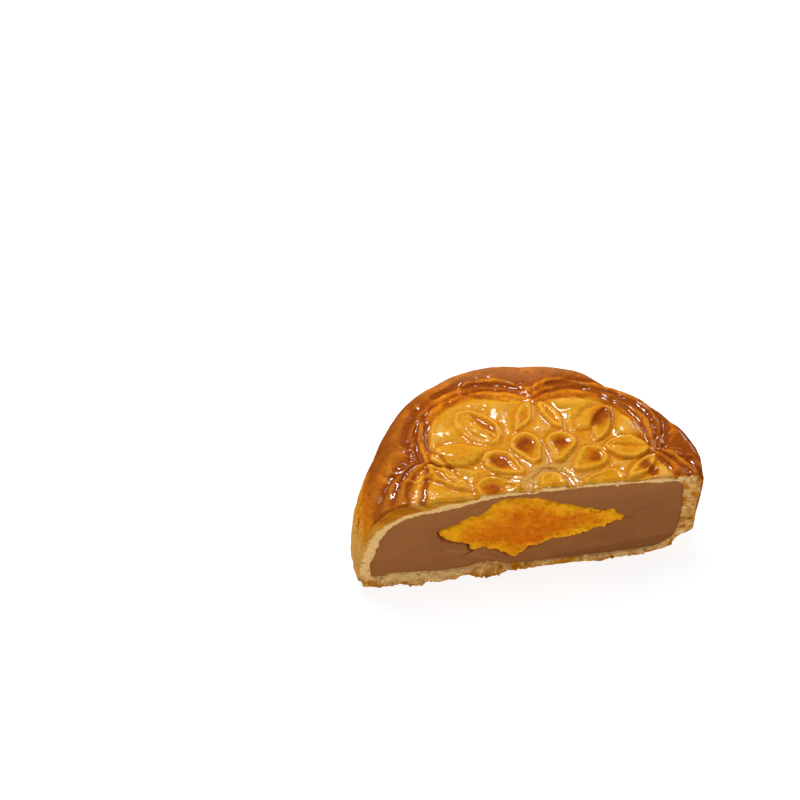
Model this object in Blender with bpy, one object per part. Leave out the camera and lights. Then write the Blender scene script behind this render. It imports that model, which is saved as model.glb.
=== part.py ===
"""Half of a baked lotus seed mooncake, cut open to show its paste and its salted yolk.

The origin is in the middle of the flat base of the half. +X runs along the cut from left to right,
the cut face looks towards -Y, and +Z is up. Every size below is in millimetres.
"""

import math

import bpy
import numpy as np

MM = 0.001

# The plan of the half: a blunt half oval round the middle of the cut
HALF_LENGTH = 40.2
DEPTH = 43.8
BLUNTNESS = 2.06

# The cut's place, which puts the origin half way between the cut and the back
CUT_Y = -21.8

# The scalloped side
FLUTES = 12
FLUTE_AT_SHOULDER = 1.3
FLUTE_AT_BASE = 1.9
FLUTE_ROUNDNESS = 0.8

# The top: its height at the cut and how it falls away to the sides and the back
TOP_HEIGHT = 27.0
TOP_MIDDLE_X = -5.0
FALL_SIDEWAYS = 0.00088
FALL_BACK = 0.02
FALL_BACK_CURVE = 0.0010

# The shoulder, width and drop: tight at the right end, slumped at the left end
SHOULDER_BACK = (5.5, 9.0)
SHOULDER_RIGHT = (2.2, 2.6)
SHOULDER_LEFT = (11.5, 22.5)
SHOULDER_POWER = 2.2

# The round edge of the base, wide where the crust has broken away at the right end of the cut
BASE_EDGE = 1.8
BROKEN_EDGE = 6.5

# The crust's thickness at the side, over the paste and under it
WALL_RIGHT = 3.5
WALL_BACK = 2.5
WALL_LEFT = 2.6
TOP_LEFT = 2.6
TOP_RIGHT = 1.4
TOP_BEHIND_CUT = 0.7
FLOOR_LEFT = 2.0
FLOOR_RIGHT = 3.4

# Clear space between neighbouring pieces
GAP = 0.3

# The ornament: a five-fold flower with ten petals, leaves and a border of swags
ORNAMENT_X = 4.9
ORNAMENT_BEHIND_CUT = 0.8
ORNAMENT_TURN = -1.6
UNIT = 27.0
STRETCH_LEFT = 0.09
STRETCH_RIGHT = 0.06
LEAF_AXIS = 54.0
PAIR_AXIS = 18.0
FIFTH = 72.0
TENTH = 36.0
BOSS_RADIUS = 2.7
RIDGE = 0.95

# The yolk's outline in the cut, from its left tip over the top to its right tip and back below
YOLK_TOP = ((-19.2, 14.3), (-13.0, 18.9), (-6.0, 23.6), (1.0, 23.6), (10.0, 19.8), (17.5, 16.8), (21.8, 13.6))
YOLK_BOTTOM = ((21.8, 13.6), (14.0, 10.2), (4.5, 8.3), (-0.7, 4.8), (-6.0, 5.4), (-12.0, 9.8), (-19.2, 14.3))
YOLK_MIDDLE = (1.0, 14.0)
YOLK_DEPTH = 15.0
YOLK_RINGS = 9
YOLK_STEPS = 5

# How finely the crust's outside is modelled before its flat areas are thinned out, and its inside
OUTSIDE_COLUMNS = 200
OUTSIDE_ROWS = (66, 16, 7, 4, 1)
OUTSIDE_KEPT = 0.2
SOFTENING = 3
OFF_BASE = 0.6
INSIDE_COLUMNS = 36
INSIDE_ROWS = (6, 7, 4, 3, 2)
PAST_CUT = 2.0


def ramp(low, high, x):
    """Smooth step from 0 at low to 1 at high."""
    t = np.clip((x - low) / (high - low), 0.0, 1.0)
    return t * t * (3.0 - 2.0 * t)


def ridge(distance, width):
    """1 on a line, falling smoothly to 0 at the given width on both sides."""
    t = np.clip(1.0 - (distance / width) ** 2, 0.0, 1.0)
    return t * t


def cushion(distance, width):
    """Rises from 0 at a shape's edge to 1 at the given depth inside it."""
    t = np.clip(-distance / width, 0.0, 1.0)
    return np.sqrt(np.clip(1.0 - (1.0 - t) ** 2, 0.0, 1.0))


def spot(radius, degrees):
    """The point at a radius, in ornament units, and an angle."""
    angle = math.radians(degrees)
    return radius * UNIT * math.cos(angle), radius * UNIT * math.sin(angle)


def almond(x, y, start, end, half_width):
    """Signed distance to a pointed leaf between two points."""
    middle_x = (start[0] + end[0]) / 2
    middle_y = (start[1] + end[1]) / 2
    half_length = math.hypot(end[0] - start[0], end[1] - start[1]) / 2
    along_x = (end[0] - start[0]) / (2 * half_length)
    along_y = (end[1] - start[1]) / (2 * half_length)
    along = (x - middle_x) * along_x + (y - middle_y) * along_y
    across = np.abs((y - middle_y) * along_x - (x - middle_x) * along_y)
    radius = (half_length ** 2 + half_width ** 2) / (2 * half_width)
    return np.hypot(along, across + radius - half_width) - radius


def teardrop(x, y, head, head_radius, tail, tail_radius):
    """Signed distance to a drop with a round head and a smaller round tail."""
    length = math.hypot(tail[0] - head[0], tail[1] - head[1])
    along_x = (tail[0] - head[0]) / length
    along_y = (tail[1] - head[1]) / length
    across = np.abs((y - head[1]) * along_x - (x - head[0]) * along_y)
    along = (x - head[0]) * along_x + (y - head[1]) * along_y
    slope = (head_radius - tail_radius) / length
    lean = math.sqrt(1.0 - slope * slope)
    side = across * lean + along * slope - head_radius
    place = along * lean - across * slope
    side = np.where(place < 0.0, np.hypot(across, along) - head_radius, side)
    return np.where(place > lean * length, np.hypot(across, along - length) - tail_radius, side)


def to_ornament(x, behind):
    """Carry plan positions into the ornament's own frame, undoing how the slumped top stretched it."""
    dx = x - ORNAMENT_X
    dy = behind - ORNAMENT_BEHIND_CUT
    radius = np.hypot(dx, dy)
    angle = np.arctan2(dy, dx) - math.radians(ORNAMENT_TURN)
    sideways = np.cos(angle)
    reach = np.minimum(1.0, (radius / UNIT) ** 2)
    left = STRETCH_LEFT * np.maximum(-sideways, 0.0) * reach
    right = STRETCH_RIGHT * np.maximum(sideways, 0.0) * reach * ramp(1.4, 0.95, radius / UNIT)
    angle = angle + math.radians(3.0) * ramp(0.5, 1.0, -sideways) * np.minimum(1.0, radius / UNIT)
    radius = radius / (1.0 + left - right)
    x = radius * np.cos(angle)
    y = radius * np.sin(angle)
    wobble_x = 0.2 * np.sin(0.33 * y + 0.21 * x + 1.0)
    wobble_y = 0.2 * np.sin(0.31 * x - 0.27 * y + 2.0)
    return x + wobble_x, y + wobble_y


def flower_relief(x, y):
    """Raised and sunk parts of the boss, the petals, the leaves and the leaf pairs."""
    radius = np.hypot(x, y)
    raised = [RIDGE * cushion(radius - BOSS_RADIUS, 1.0) - 0.3 * ridge(radius, 2.2)]
    sunk = [0.25 * ridge(radius - 3.7, 1.2)]
    for petal in range(-1, 7):
        axis = TENTH * petal
        edge = teardrop(x, y, spot(0.49, axis), 3.55, spot(0.28, axis), 1.7)
        raised.append(RIDGE * ridge(edge + 0.95, 1.15) + 0.25 * ramp(0.0, -1.5, edge))
        sunk.append(0.2 * ramp(-1.4, -2.6, edge))
        line = almond(x, y, spot(0.15, axis + TENTH / 2), spot(0.6, axis + TENTH / 2), 0.4)
        sunk.append(0.3 * ramp(0.3, -0.3, line))
    for fifth in range(-1, 3):
        axis = LEAF_AXIS + FIFTH * fifth
        edge = almond(x, y, spot(0.62, axis), spot(1.09, axis), 0.165 * UNIT)
        raised.append(0.9 * ridge(edge + 0.8, 1.1) + 0.55 * cushion(edge, 2.0))
        slit = almond(x, y, spot(0.66, axis), spot(1.04, axis), 1.1)
        sunk.append(1.1 * ramp(0.2, -0.7, slit))
    for fifth in range(-1, 3):
        for side in (-1, 1):
            axis = PAIR_AXIS + FIFTH * fifth
            broad = 1.0 if (fifth, side) in ((0, 1), (2, -1)) else 0.0
            edge = almond(x, y, spot(1.0, axis + 2 * side), spot(0.65, axis + (18 + 3 * broad) * side),
                          (0.07 + 0.04 * broad) * UNIT)
            raised.append(0.75 * ridge(edge + 0.5, 0.75) * (1.0 - 0.35 * broad)
                          + (0.2 + 0.55 * broad) * cushion(edge, 0.9 + 1.4 * broad))
            bulge = np.hypot(x - spot(0.93, axis + 21 * side)[0], y - spot(0.93, axis + 21 * side)[1])
            raised.append(0.5 * ridge(bulge, 3.8))
    return raised, sunk


def border_relief(x, y):
    """Raised and sunk parts of the border: two ridges and two grooves that swag from pair to pair."""
    radius = np.hypot(x, y)
    angle = np.degrees(np.arctan2(y, x))
    swag = 1.0 - np.abs((angle - PAIR_AXIS) % FIFTH - TENTH) / TENTH
    swag = np.sin(swag * math.pi / 2)
    inner = UNIT * (0.95 + 0.22 * swag)
    outer = UNIT * (1.09 + 0.26 * swag ** 0.8)
    place = (radius - inner) / (outer - inner)
    raised = [0.85 * ridge(place - 0.28, 0.22), 0.8 * ridge(place - 0.72, 0.24), 0.55 * ramp(0.3, 2.5, radius - outer)]
    sunk = [0.3 * ridge(radius - inner, 0.9), 0.2 * ridge(place - 0.5, 0.1), 0.8 * ridge(radius - outer, 0.9)]
    for fifth in range(-1, 3):
        axis = PAIR_AXIS + FIFTH * fifth
        for side in (-1, 1):
            edge = almond(x, y, spot(1.08, axis + side), spot(1.36, axis + 8 * side), 0.05 * UNIT)
            raised.append(0.6 * ridge(edge + 0.5, 0.8))
    return raised, sunk, place


def relief(x, behind):
    """Height of the pressed ornament above the plain top, at plan positions."""
    x, y = to_ornament(x, behind)
    raised, sunk = flower_relief(x, y)
    height = np.maximum.reduce(raised)
    hollow = np.maximum.reduce(sunk)
    border_raised, border_sunk, place = border_relief(x, y)
    height = height * ramp(0.25, -0.05, place)
    height = np.maximum.reduce([height] + border_raised)
    return height - np.maximum.reduce([hollow * ramp(0.1, -0.1, place)] + border_sunk)


def oval(theta):
    """Plan radius of the half at an angle from the right end, without its flutes."""
    across = (np.abs(np.cos(theta)) / HALF_LENGTH) ** BLUNTNESS
    back = (np.abs(np.sin(theta)) / DEPTH) ** BLUNTNESS
    return (across + back) ** (-1.0 / BLUNTNESS)


def flute(theta, depth):
    """How far the flutes cut into the side at an angle: 0 on a lobe, depth in a flute."""
    radius = oval(theta)
    x = radius * np.cos(theta) - ORNAMENT_X
    y = radius * np.sin(theta) - ORNAMENT_BEHIND_CUT
    turn = np.arctan2(y, x) - math.radians(ORNAMENT_TURN + 1.0)
    return depth * (1.0 - np.abs(np.sin(FLUTES / 2 * turn)) ** FLUTE_ROUNDNESS)


def by_side(theta, right, back, left):
    """A size that changes from the right end over the back to the left end."""
    across = np.cos(theta)
    to_right = (right - back) * ramp(0.55, 1.0, across)
    to_left = (left - back) * ramp(0.3, 0.97, -across)
    return back + to_right + to_left


def crown(x, behind):
    """Height of the plain top over a plan position."""
    return (TOP_HEIGHT - FALL_SIDEWAYS * (x - TOP_MIDDLE_X) ** 2
            - FALL_BACK * behind - FALL_BACK_CURVE * behind ** 2)


def half_cake(columns, rows, thickness):
    """Rows of points from the middle of the top, down the side and to the middle of the base.

    The surface lies inside the cake by three thicknesses, given as functions: the top's at a place in plan,
    the side's at an angle and the floor's along the cut. The first and last columns lie in the cut.
    """
    top_rows, shoulder_rows, side_rows, edge_rows, base_rows = rows
    top_inset, side_inset, floor_inset = thickness
    theta = np.linspace(0.0, math.pi, columns)
    reach = oval(theta) - flute(theta, FLUTE_AT_SHOULDER) - side_inset(theta)
    foot = oval(theta) - flute(theta, FLUTE_AT_BASE) - side_inset(theta)
    wide = by_side(theta, SHOULDER_RIGHT[0], SHOULDER_BACK[0], SHOULDER_LEFT[0])
    drop = by_side(theta, SHOULDER_RIGHT[1], SHOULDER_BACK[1], SHOULDER_LEFT[1])
    edge = BASE_EDGE + (BROKEN_EDGE - BASE_EDGE) * ramp(0.86, 1.0, np.cos(theta))
    floor = floor_inset(foot * np.cos(theta))

    def place(radius, height):
        return np.stack([radius * np.cos(theta), CUT_Y + radius * np.sin(theta), height], axis=-1)

    def top_at(radius):
        x = radius * np.cos(theta)
        behind = radius * np.sin(theta)
        return crown(x, behind) - top_inset(x, behind)

    surface = []
    for row in range(top_rows):
        radius = (reach - wide) * row / top_rows
        surface.append(place(radius, top_at(radius)))
    for row in range(shoulder_rows + 1):
        turn = row / shoulder_rows * math.pi / 2
        radius = reach - wide + wide * math.sin(turn) ** (2 / SHOULDER_POWER)
        fall = drop * (1.0 - math.cos(turn) ** (2 / SHOULDER_POWER))
        surface.append(place(radius, np.maximum(top_at(radius) - fall, floor + edge)))
    start = surface[-1][:, 2]
    for row in range(1, side_rows + 1):
        part = row / side_rows
        radius = reach + (foot - reach) * ramp(0.0, 1.0, part)
        surface.append(place(radius, start + (floor + edge - start) * part))
    for row in range(1, edge_rows + 1):
        turn = row / edge_rows * math.pi / 2
        surface.append(place(foot - edge + edge * math.cos(turn), floor + edge - edge * math.sin(turn)))
    for row in range(1, base_rows + 1):
        radius = (foot - edge) * (1.0 - row / base_rows)
        surface.append(place(radius, floor_inset(radius * np.cos(theta))))
    return np.array(surface)


def press_ornament(surface):
    """Push the outer surface in and out along its normals by the relief."""
    down = np.gradient(surface, axis=0)
    along = np.gradient(surface, axis=1)
    normal = np.cross(down, along)
    size = np.linalg.norm(normal, axis=-1, keepdims=True)
    upright = np.array([0.0, 0.0, 1.0])
    normal = np.where(size > 1e-6, normal / np.maximum(size, 1e-6), upright)
    normal[0] = upright
    normal[:, (0, -1), 1] = 0.0
    height = relief(surface[..., 0], surface[..., 1] - CUT_Y)
    for _ in range(SOFTENING):
        padded = np.pad(height, 1, mode="edge")
        height = (2 * height + padded[:-2, 1:-1] + padded[2:, 1:-1] + padded[1:-1, :-2] + padded[1:-1, 2:]) / 6
    fade = ramp(0.15, 0.6, normal[..., 2])
    return surface + normal * (height * fade)[..., None]


def add_surface(points, faces, surface):
    """Add the rows as faces, with one point at each pole. Returns the loop that lies in the cut."""
    rows, columns = surface.shape[:2]
    first = len(points)
    points.append(surface[0, 0])
    for row in range(1, rows - 1):
        points.extend(surface[row])
    points.append(surface[-1, 0])
    last = len(points) - 1

    def index(row, column):
        if row == 0:
            return first
        if row == rows - 1:
            return last
        return first + 1 + (row - 1) * columns + column

    for row in range(rows - 1):
        for column in range(columns - 1):
            corners = [index(row, column), index(row + 1, column), index(row + 1, column + 1), index(row, column + 1)]
            faces.append(list(dict.fromkeys(corners)))
    right = [index(row, 0) for row in range(rows)]
    left = [index(row, columns - 1) for row in range(rows - 2, 0, -1)]
    return right + left


def add_object(name, points, faces, material):
    """Make a mesh object from points in millimetres."""
    mesh = bpy.data.meshes.new(name)
    mesh.from_pydata([[value * MM for value in point] for point in points], [], faces)
    mesh.materials.append(material)
    mesh.shade_smooth()
    mesh.set_sharp_from_angle(angle=math.radians(50))
    thing = bpy.data.objects.new(name, mesh)
    bpy.context.scene.collection.objects.link(thing)
    return thing


def plain_material(name, colour, roughness):
    """A material of one colour."""
    material = bpy.data.materials.new(name)
    material.use_nodes = True
    shader = material.node_tree.nodes["Principled BSDF"]
    shader.inputs["Base Color"].default_value = (*colour, 1.0)
    shader.inputs["Roughness"].default_value = roughness
    shader.inputs["Metallic"].default_value = 0.0
    return material


def top_thickness(x, behind):
    """Thickness of the crust over the paste."""
    return TOP_RIGHT + (TOP_LEFT - TOP_RIGHT) * ramp(0.0, -34.0, x) + TOP_BEHIND_CUT * ramp(0.0, 8.0, behind)


def wall_thickness(theta):
    """Thickness of the crust at the side."""
    return by_side(theta, WALL_RIGHT, WALL_BACK, WALL_LEFT)


def floor_thickness(x):
    """Thickness of the crust under the paste."""
    return FLOOR_LEFT + (FLOOR_RIGHT - FLOOR_LEFT) * ramp(5.0, 33.0, x)


def inside(gap):
    """The surface inside the crust, a gap away from it."""
    return half_cake(INSIDE_COLUMNS, INSIDE_ROWS, (
        lambda x, behind: top_thickness(x, behind) + gap,
        lambda theta: wall_thickness(theta) + gap,
        lambda x: floor_thickness(x) + gap,
    ))


def add_cutter(name, points, faces):
    """A shape that only hollows out another one."""
    cutter = add_object(name, points, faces, plain_material(name, (0.5, 0.5, 0.5), 0.5))
    cutter.hide_render = True
    cutter.display_type = "WIRE"
    return cutter


def hollow_out(thing, cutter):
    """Take the cutter's shape out of a piece."""
    hollow = thing.modifiers.new("hollow", "BOOLEAN")
    hollow.operation = "DIFFERENCE"
    hollow.solver = "EXACT"
    hollow.object = cutter


def build_crust():
    """The baked crust: a shell over the paste, open at the cut."""
    outside = press_ornament(half_cake(OUTSIDE_COLUMNS, OUTSIDE_ROWS, (
        lambda x, behind: 0.0 * x,
        lambda theta: 0.0 * theta,
        lambda x: 0.0 * x,
    )))
    points = []
    faces = []
    faces.append(add_surface(points, faces, outside)[::-1])
    crust = add_object("crust", points, faces, plain_material("baked_crust", (0.55, 0.27, 0.05), 0.35))
    off_base = crust.vertex_groups.new(name="off_base")
    off_base.add([i for i, point in enumerate(points) if point[2] > OFF_BASE], 1.0, "REPLACE")
    thin_out = crust.modifiers.new("thin_out", "DECIMATE")
    thin_out.ratio = OUTSIDE_KEPT
    thin_out.vertex_group = off_base.name

    room = inside(0.0)
    past_cut = np.array([0.0, PAST_CUT, 0.0])
    room[0] -= past_cut
    room[-1] -= past_cut
    room = np.concatenate([room[:, :1] - past_cut, room, room[:, -1:] - past_cut], axis=1)
    points = []
    faces = []
    faces.append(add_surface(points, faces, room)[::-1])
    hollow_out(crust, add_cutter("room_for_paste", points, faces))


def smooth_line(corners, steps):
    """Points on a smooth line through the given corners."""
    corners = np.array(corners)
    padded = np.vstack([2 * corners[0] - corners[1], corners, 2 * corners[-1] - corners[-2]])
    line = []
    for i in range(1, len(padded) - 2):
        before, start, end, after = padded[i - 1:i + 3]
        for step in range(steps):
            t = step / steps
            line.append(0.5 * (2 * start + (end - before) * t + (2 * before - 5 * start + 4 * end - after) * t ** 2
                               + (3 * start - before - 3 * end + after) * t ** 3))
    return np.array(line)


def yolk_mesh(grow, front):
    """Points and faces of the yolk, grown all round, with its flat front at a distance before the cut."""
    outline = np.vstack([smooth_line(YOLK_TOP, YOLK_STEPS), smooth_line(YOLK_BOTTOM, YOLK_STEPS)])
    ahead = np.roll(outline, -1, axis=0) - np.roll(outline, 1, axis=0)
    normal = np.stack([-ahead[:, 1], ahead[:, 0]], axis=-1)
    outline = outline + grow * normal / np.linalg.norm(normal, axis=-1, keepdims=True)
    middle = np.array(YOLK_MIDDLE)
    count = len(outline)
    depths = [ring / YOLK_RINGS for ring in range(YOLK_RINGS)]
    levels = [(depth * (YOLK_DEPTH + grow), math.sqrt(1.0 - depth ** 2)) for depth in depths]
    if front > 0.0:
        levels.insert(0, (-front, 1.0))
    points = []
    for level, shrink in levels:
        points.extend((x, CUT_Y + level, z) for x, z in middle + (outline - middle) * shrink)
    points.append((middle[0], CUT_Y + YOLK_DEPTH + grow, middle[1]))
    faces = [list(range(count))[::-1]]
    for start in range(0, count * (len(levels) - 1), count):
        for i in range(count):
            j = (i + 1) % count
            faces.append([start + i, start + j, start + count + j, start + count + i])
    start = count * (len(levels) - 1)
    for i in range(count):
        faces.append([start + i, start + (i + 1) % count, len(points) - 1])
    return points, faces


def build_yolk():
    """The salted yolk: a flattened lump in the paste, cut through."""
    points, faces = yolk_mesh(0.0, 0.0)
    add_object("egg_yolk", points, faces, plain_material("salted_yolk", (0.75, 0.27, 0.02), 0.55))


def build_paste():
    """The lotus seed paste: it fills the crust, with a hollow for the yolk."""
    points = []
    faces = []
    faces.append(add_surface(points, faces, inside(GAP))[::-1])
    paste = add_object("lotus_paste", points, faces, plain_material("lotus_paste", (0.24, 0.10, 0.035), 0.5))
    points, faces = yolk_mesh(GAP, PAST_CUT)
    hollow_out(paste, add_cutter("room_for_yolk", points, faces))


def main():
    for thing in list(bpy.data.objects):
        bpy.data.objects.remove(thing)
    build_crust()
    build_paste()
    build_yolk()


main()
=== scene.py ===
"""The looks of half a lotus seed mooncake: baked crust with a pressed flower, paste and salted yolk.

Shapes are worked out in millimetres in the frame's own axes: +X along the cut, the cut face towards -Y,
+Z up. A finished mesh is scaled to metres, and its object stays at the origin.
"""

import math
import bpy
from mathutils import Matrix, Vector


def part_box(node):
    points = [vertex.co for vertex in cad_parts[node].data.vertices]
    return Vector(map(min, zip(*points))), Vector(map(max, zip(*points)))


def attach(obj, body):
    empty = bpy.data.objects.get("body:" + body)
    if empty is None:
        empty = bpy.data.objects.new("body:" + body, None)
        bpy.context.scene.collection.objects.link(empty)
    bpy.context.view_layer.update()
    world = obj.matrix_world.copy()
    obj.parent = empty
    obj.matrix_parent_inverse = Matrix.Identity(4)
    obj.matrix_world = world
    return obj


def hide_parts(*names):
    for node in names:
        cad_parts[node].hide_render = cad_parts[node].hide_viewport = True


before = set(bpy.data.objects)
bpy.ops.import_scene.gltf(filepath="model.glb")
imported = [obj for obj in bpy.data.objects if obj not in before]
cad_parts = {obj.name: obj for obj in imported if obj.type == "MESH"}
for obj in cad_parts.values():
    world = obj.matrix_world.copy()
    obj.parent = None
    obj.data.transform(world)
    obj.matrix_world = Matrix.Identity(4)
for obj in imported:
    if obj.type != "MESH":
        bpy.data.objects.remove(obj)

from types import SimpleNamespace

import bmesh
import bpy
import numpy as np
from bpy.props import FloatProperty, FloatVectorProperty, IntProperty, PointerProperty
from mathutils import Vector, noise

bl_info = {
    "name": "Half mooncake",
    "version": (1, 0, 0),
    "blender": (4, 5, 0),
    "location": "3D View > Sidebar > Mooncake",
    "description": "Builds half of a baked mooncake with its paste, its yolk and a plain studio",
    "category": "Add Mesh",
}

MM = 0.001
DEGREES = 180 / math.pi
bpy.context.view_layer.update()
CUT_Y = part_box("crust")[0].y / MM

# The half's driving sizes
HALF_LENGTH = 40.2
DEPTH = 43.8
HEIGHT = 27.0
FLUTE_TOP = 0.8
FLUTE_BASE = 1.9
YOLK_DEPTH = 15.0

# The plan and the side: how square the plan is, its flutes, how the domed top falls away from its middle,
# the shoulder's reach inwards and drop at the back and at both ends, and the rounding at the base
BLUNTNESS = 2.06
FLUTES = 12
FLUTE_ROUNDNESS = 0.85
TOP_MIDDLE_X = -5.0
FALL_SIDEWAYS = 0.00088
FALL_BACK = 0.02
FALL_BACK_CURVE = 0.0010
SHOULDER_POWER = 2.2
SHOULDER_BACK = (5.5, 9.0)
SHOULDER_RIGHT = (2.2, 2.6)
SHOULDER_LEFT = (11.5, 22.5)
BASE_EDGE = 1.8
BROKEN_EDGE = 6.5

# The ornament: the radius that its layout is drawn for, its middle, its turn, how the slumped top stretches
# and turns it at both ends, and how far its lines wander. Angles are in degrees
LAYOUT = 27.0
ORNAMENT_X = 4.9
ORNAMENT_BEHIND_CUT = 0.8
ORNAMENT_TURN = -1.6
STRETCH_LEFT = 0.09
STRETCH_RIGHT = 0.06
LEFT_END_TURN = 3.0
BROAD_WANDER = 0.85
FINE_WANDER = 0.30

# The axes of the first leaf and the first pair, and the steps from one to the next
LEAF_AXIS = 54.0
PAIR_AXIS = 18.0
FIFTH = 72.0
TENTH = 36.0

# The boss, the ten drop-shaped petals and the leaves' outer end
BOSS_RADIUS = 3.5
PETAL_HEAD = 3.45
PETAL_TAIL = 1.7
PETAL_MIDDLE = 0.49 * LAYOUT
PETAL_SPAN = 0.165 * LAYOUT
LEAF_TIP = 1.10 * LAYOUT
RING_WIDTH = 0.95

# Points along the outside, its rows on top, shoulder, side, base edge and base, the seed of its lumps, and
# the longest step between points along the cut
OUTSIDE_COLUMNS = 380
OUTSIDE_ROWS = (108, 28, 34, 6, 5)
CRUST_SEED = 4.0
CUT_EDGE_STEP = 0.32

# The middle of the cut face, and the outlines of the paste and the yolk in it
SECTION_MIDDLE = (0.0, 13.5)
PASTE_TOP = (
    (-35.4, 11.6), (-34.3, 15.2), (-32.8, 18.7), (-29.7, 21.4), (-26.7, 22.7), (-22.4, 23.3), (-18.2, 23.9),
    (-14.5, 24.7), (-9.1, 25.9), (-5.4, 26.2), (0.4, 26.1), (7.4, 26.0), (12.6, 26.0), (18.8, 25.5),
    (23.4, 25.3), (28.1, 24.8), (33.2, 24.2), (34.8, 22.4), (35.3, 13.7),
)
PASTE_BOTTOM = (
    (35.3, 13.7), (34.9, 9.0), (34.0, 5.8), (32.4, 3.5), (30.0, 2.0), (26.8, 1.4), (23.6, 1.3), (17.2, 1.4),
    (12.1, 1.5), (7.7, 1.7), (1.4, 1.8), (-4.6, 2.0), (-9.4, 3.7), (-12.2, 3.3), (-14.1, 2.3), (-17.2, 2.1),
    (-20.3, 2.0), (-24.7, 2.8), (-28.1, 3.1), (-31.3, 3.6), (-33.8, 3.1), (-36.2, 3.5), (-36.4, 7.9),
    (-35.4, 11.6),
)
YOLK_TOP = (
    (-20.8, 15.1), (-19.9, 16.1), (-18.1, 16.9), (-15.9, 18.9), (-13.8, 20.2), (-10.9, 20.6), (-9.2, 21.8),
    (-8.4, 23.1), (-6.5, 24.2), (-2.6, 24.1), (0.4, 23.9), (3.6, 22.5), (7.7, 20.5), (11.5, 18.8),
    (15.0, 17.4), (18.8, 16.3), (20.8, 14.5), (22.2, 13.1),
)
YOLK_BOTTOM = (
    (22.2, 13.1), (20.3, 12.4), (17.9, 11.3), (15.4, 11.0), (12.9, 10.0), (10.5, 9.2), (6.4, 8.6), (3.9, 8.4),
    (2.9, 7.2), (-0.4, 5.5), (-1.5, 5.1), (-2.1, 6.2), (-2.8, 6.3), (-3.2, 5.5), (-4.7, 4.8), (-7.9, 7.4),
    (-11.3, 9.5), (-11.9, 8.5), (-12.8, 8.0), (-13.6, 8.8), (-13.4, 10.3), (-15.8, 10.8), (-18.6, 12.0),
    (-20.5, 13.6), (-20.8, 15.1),
)
YOLK_MIDDLE = (1.0, 14.0)

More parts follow.
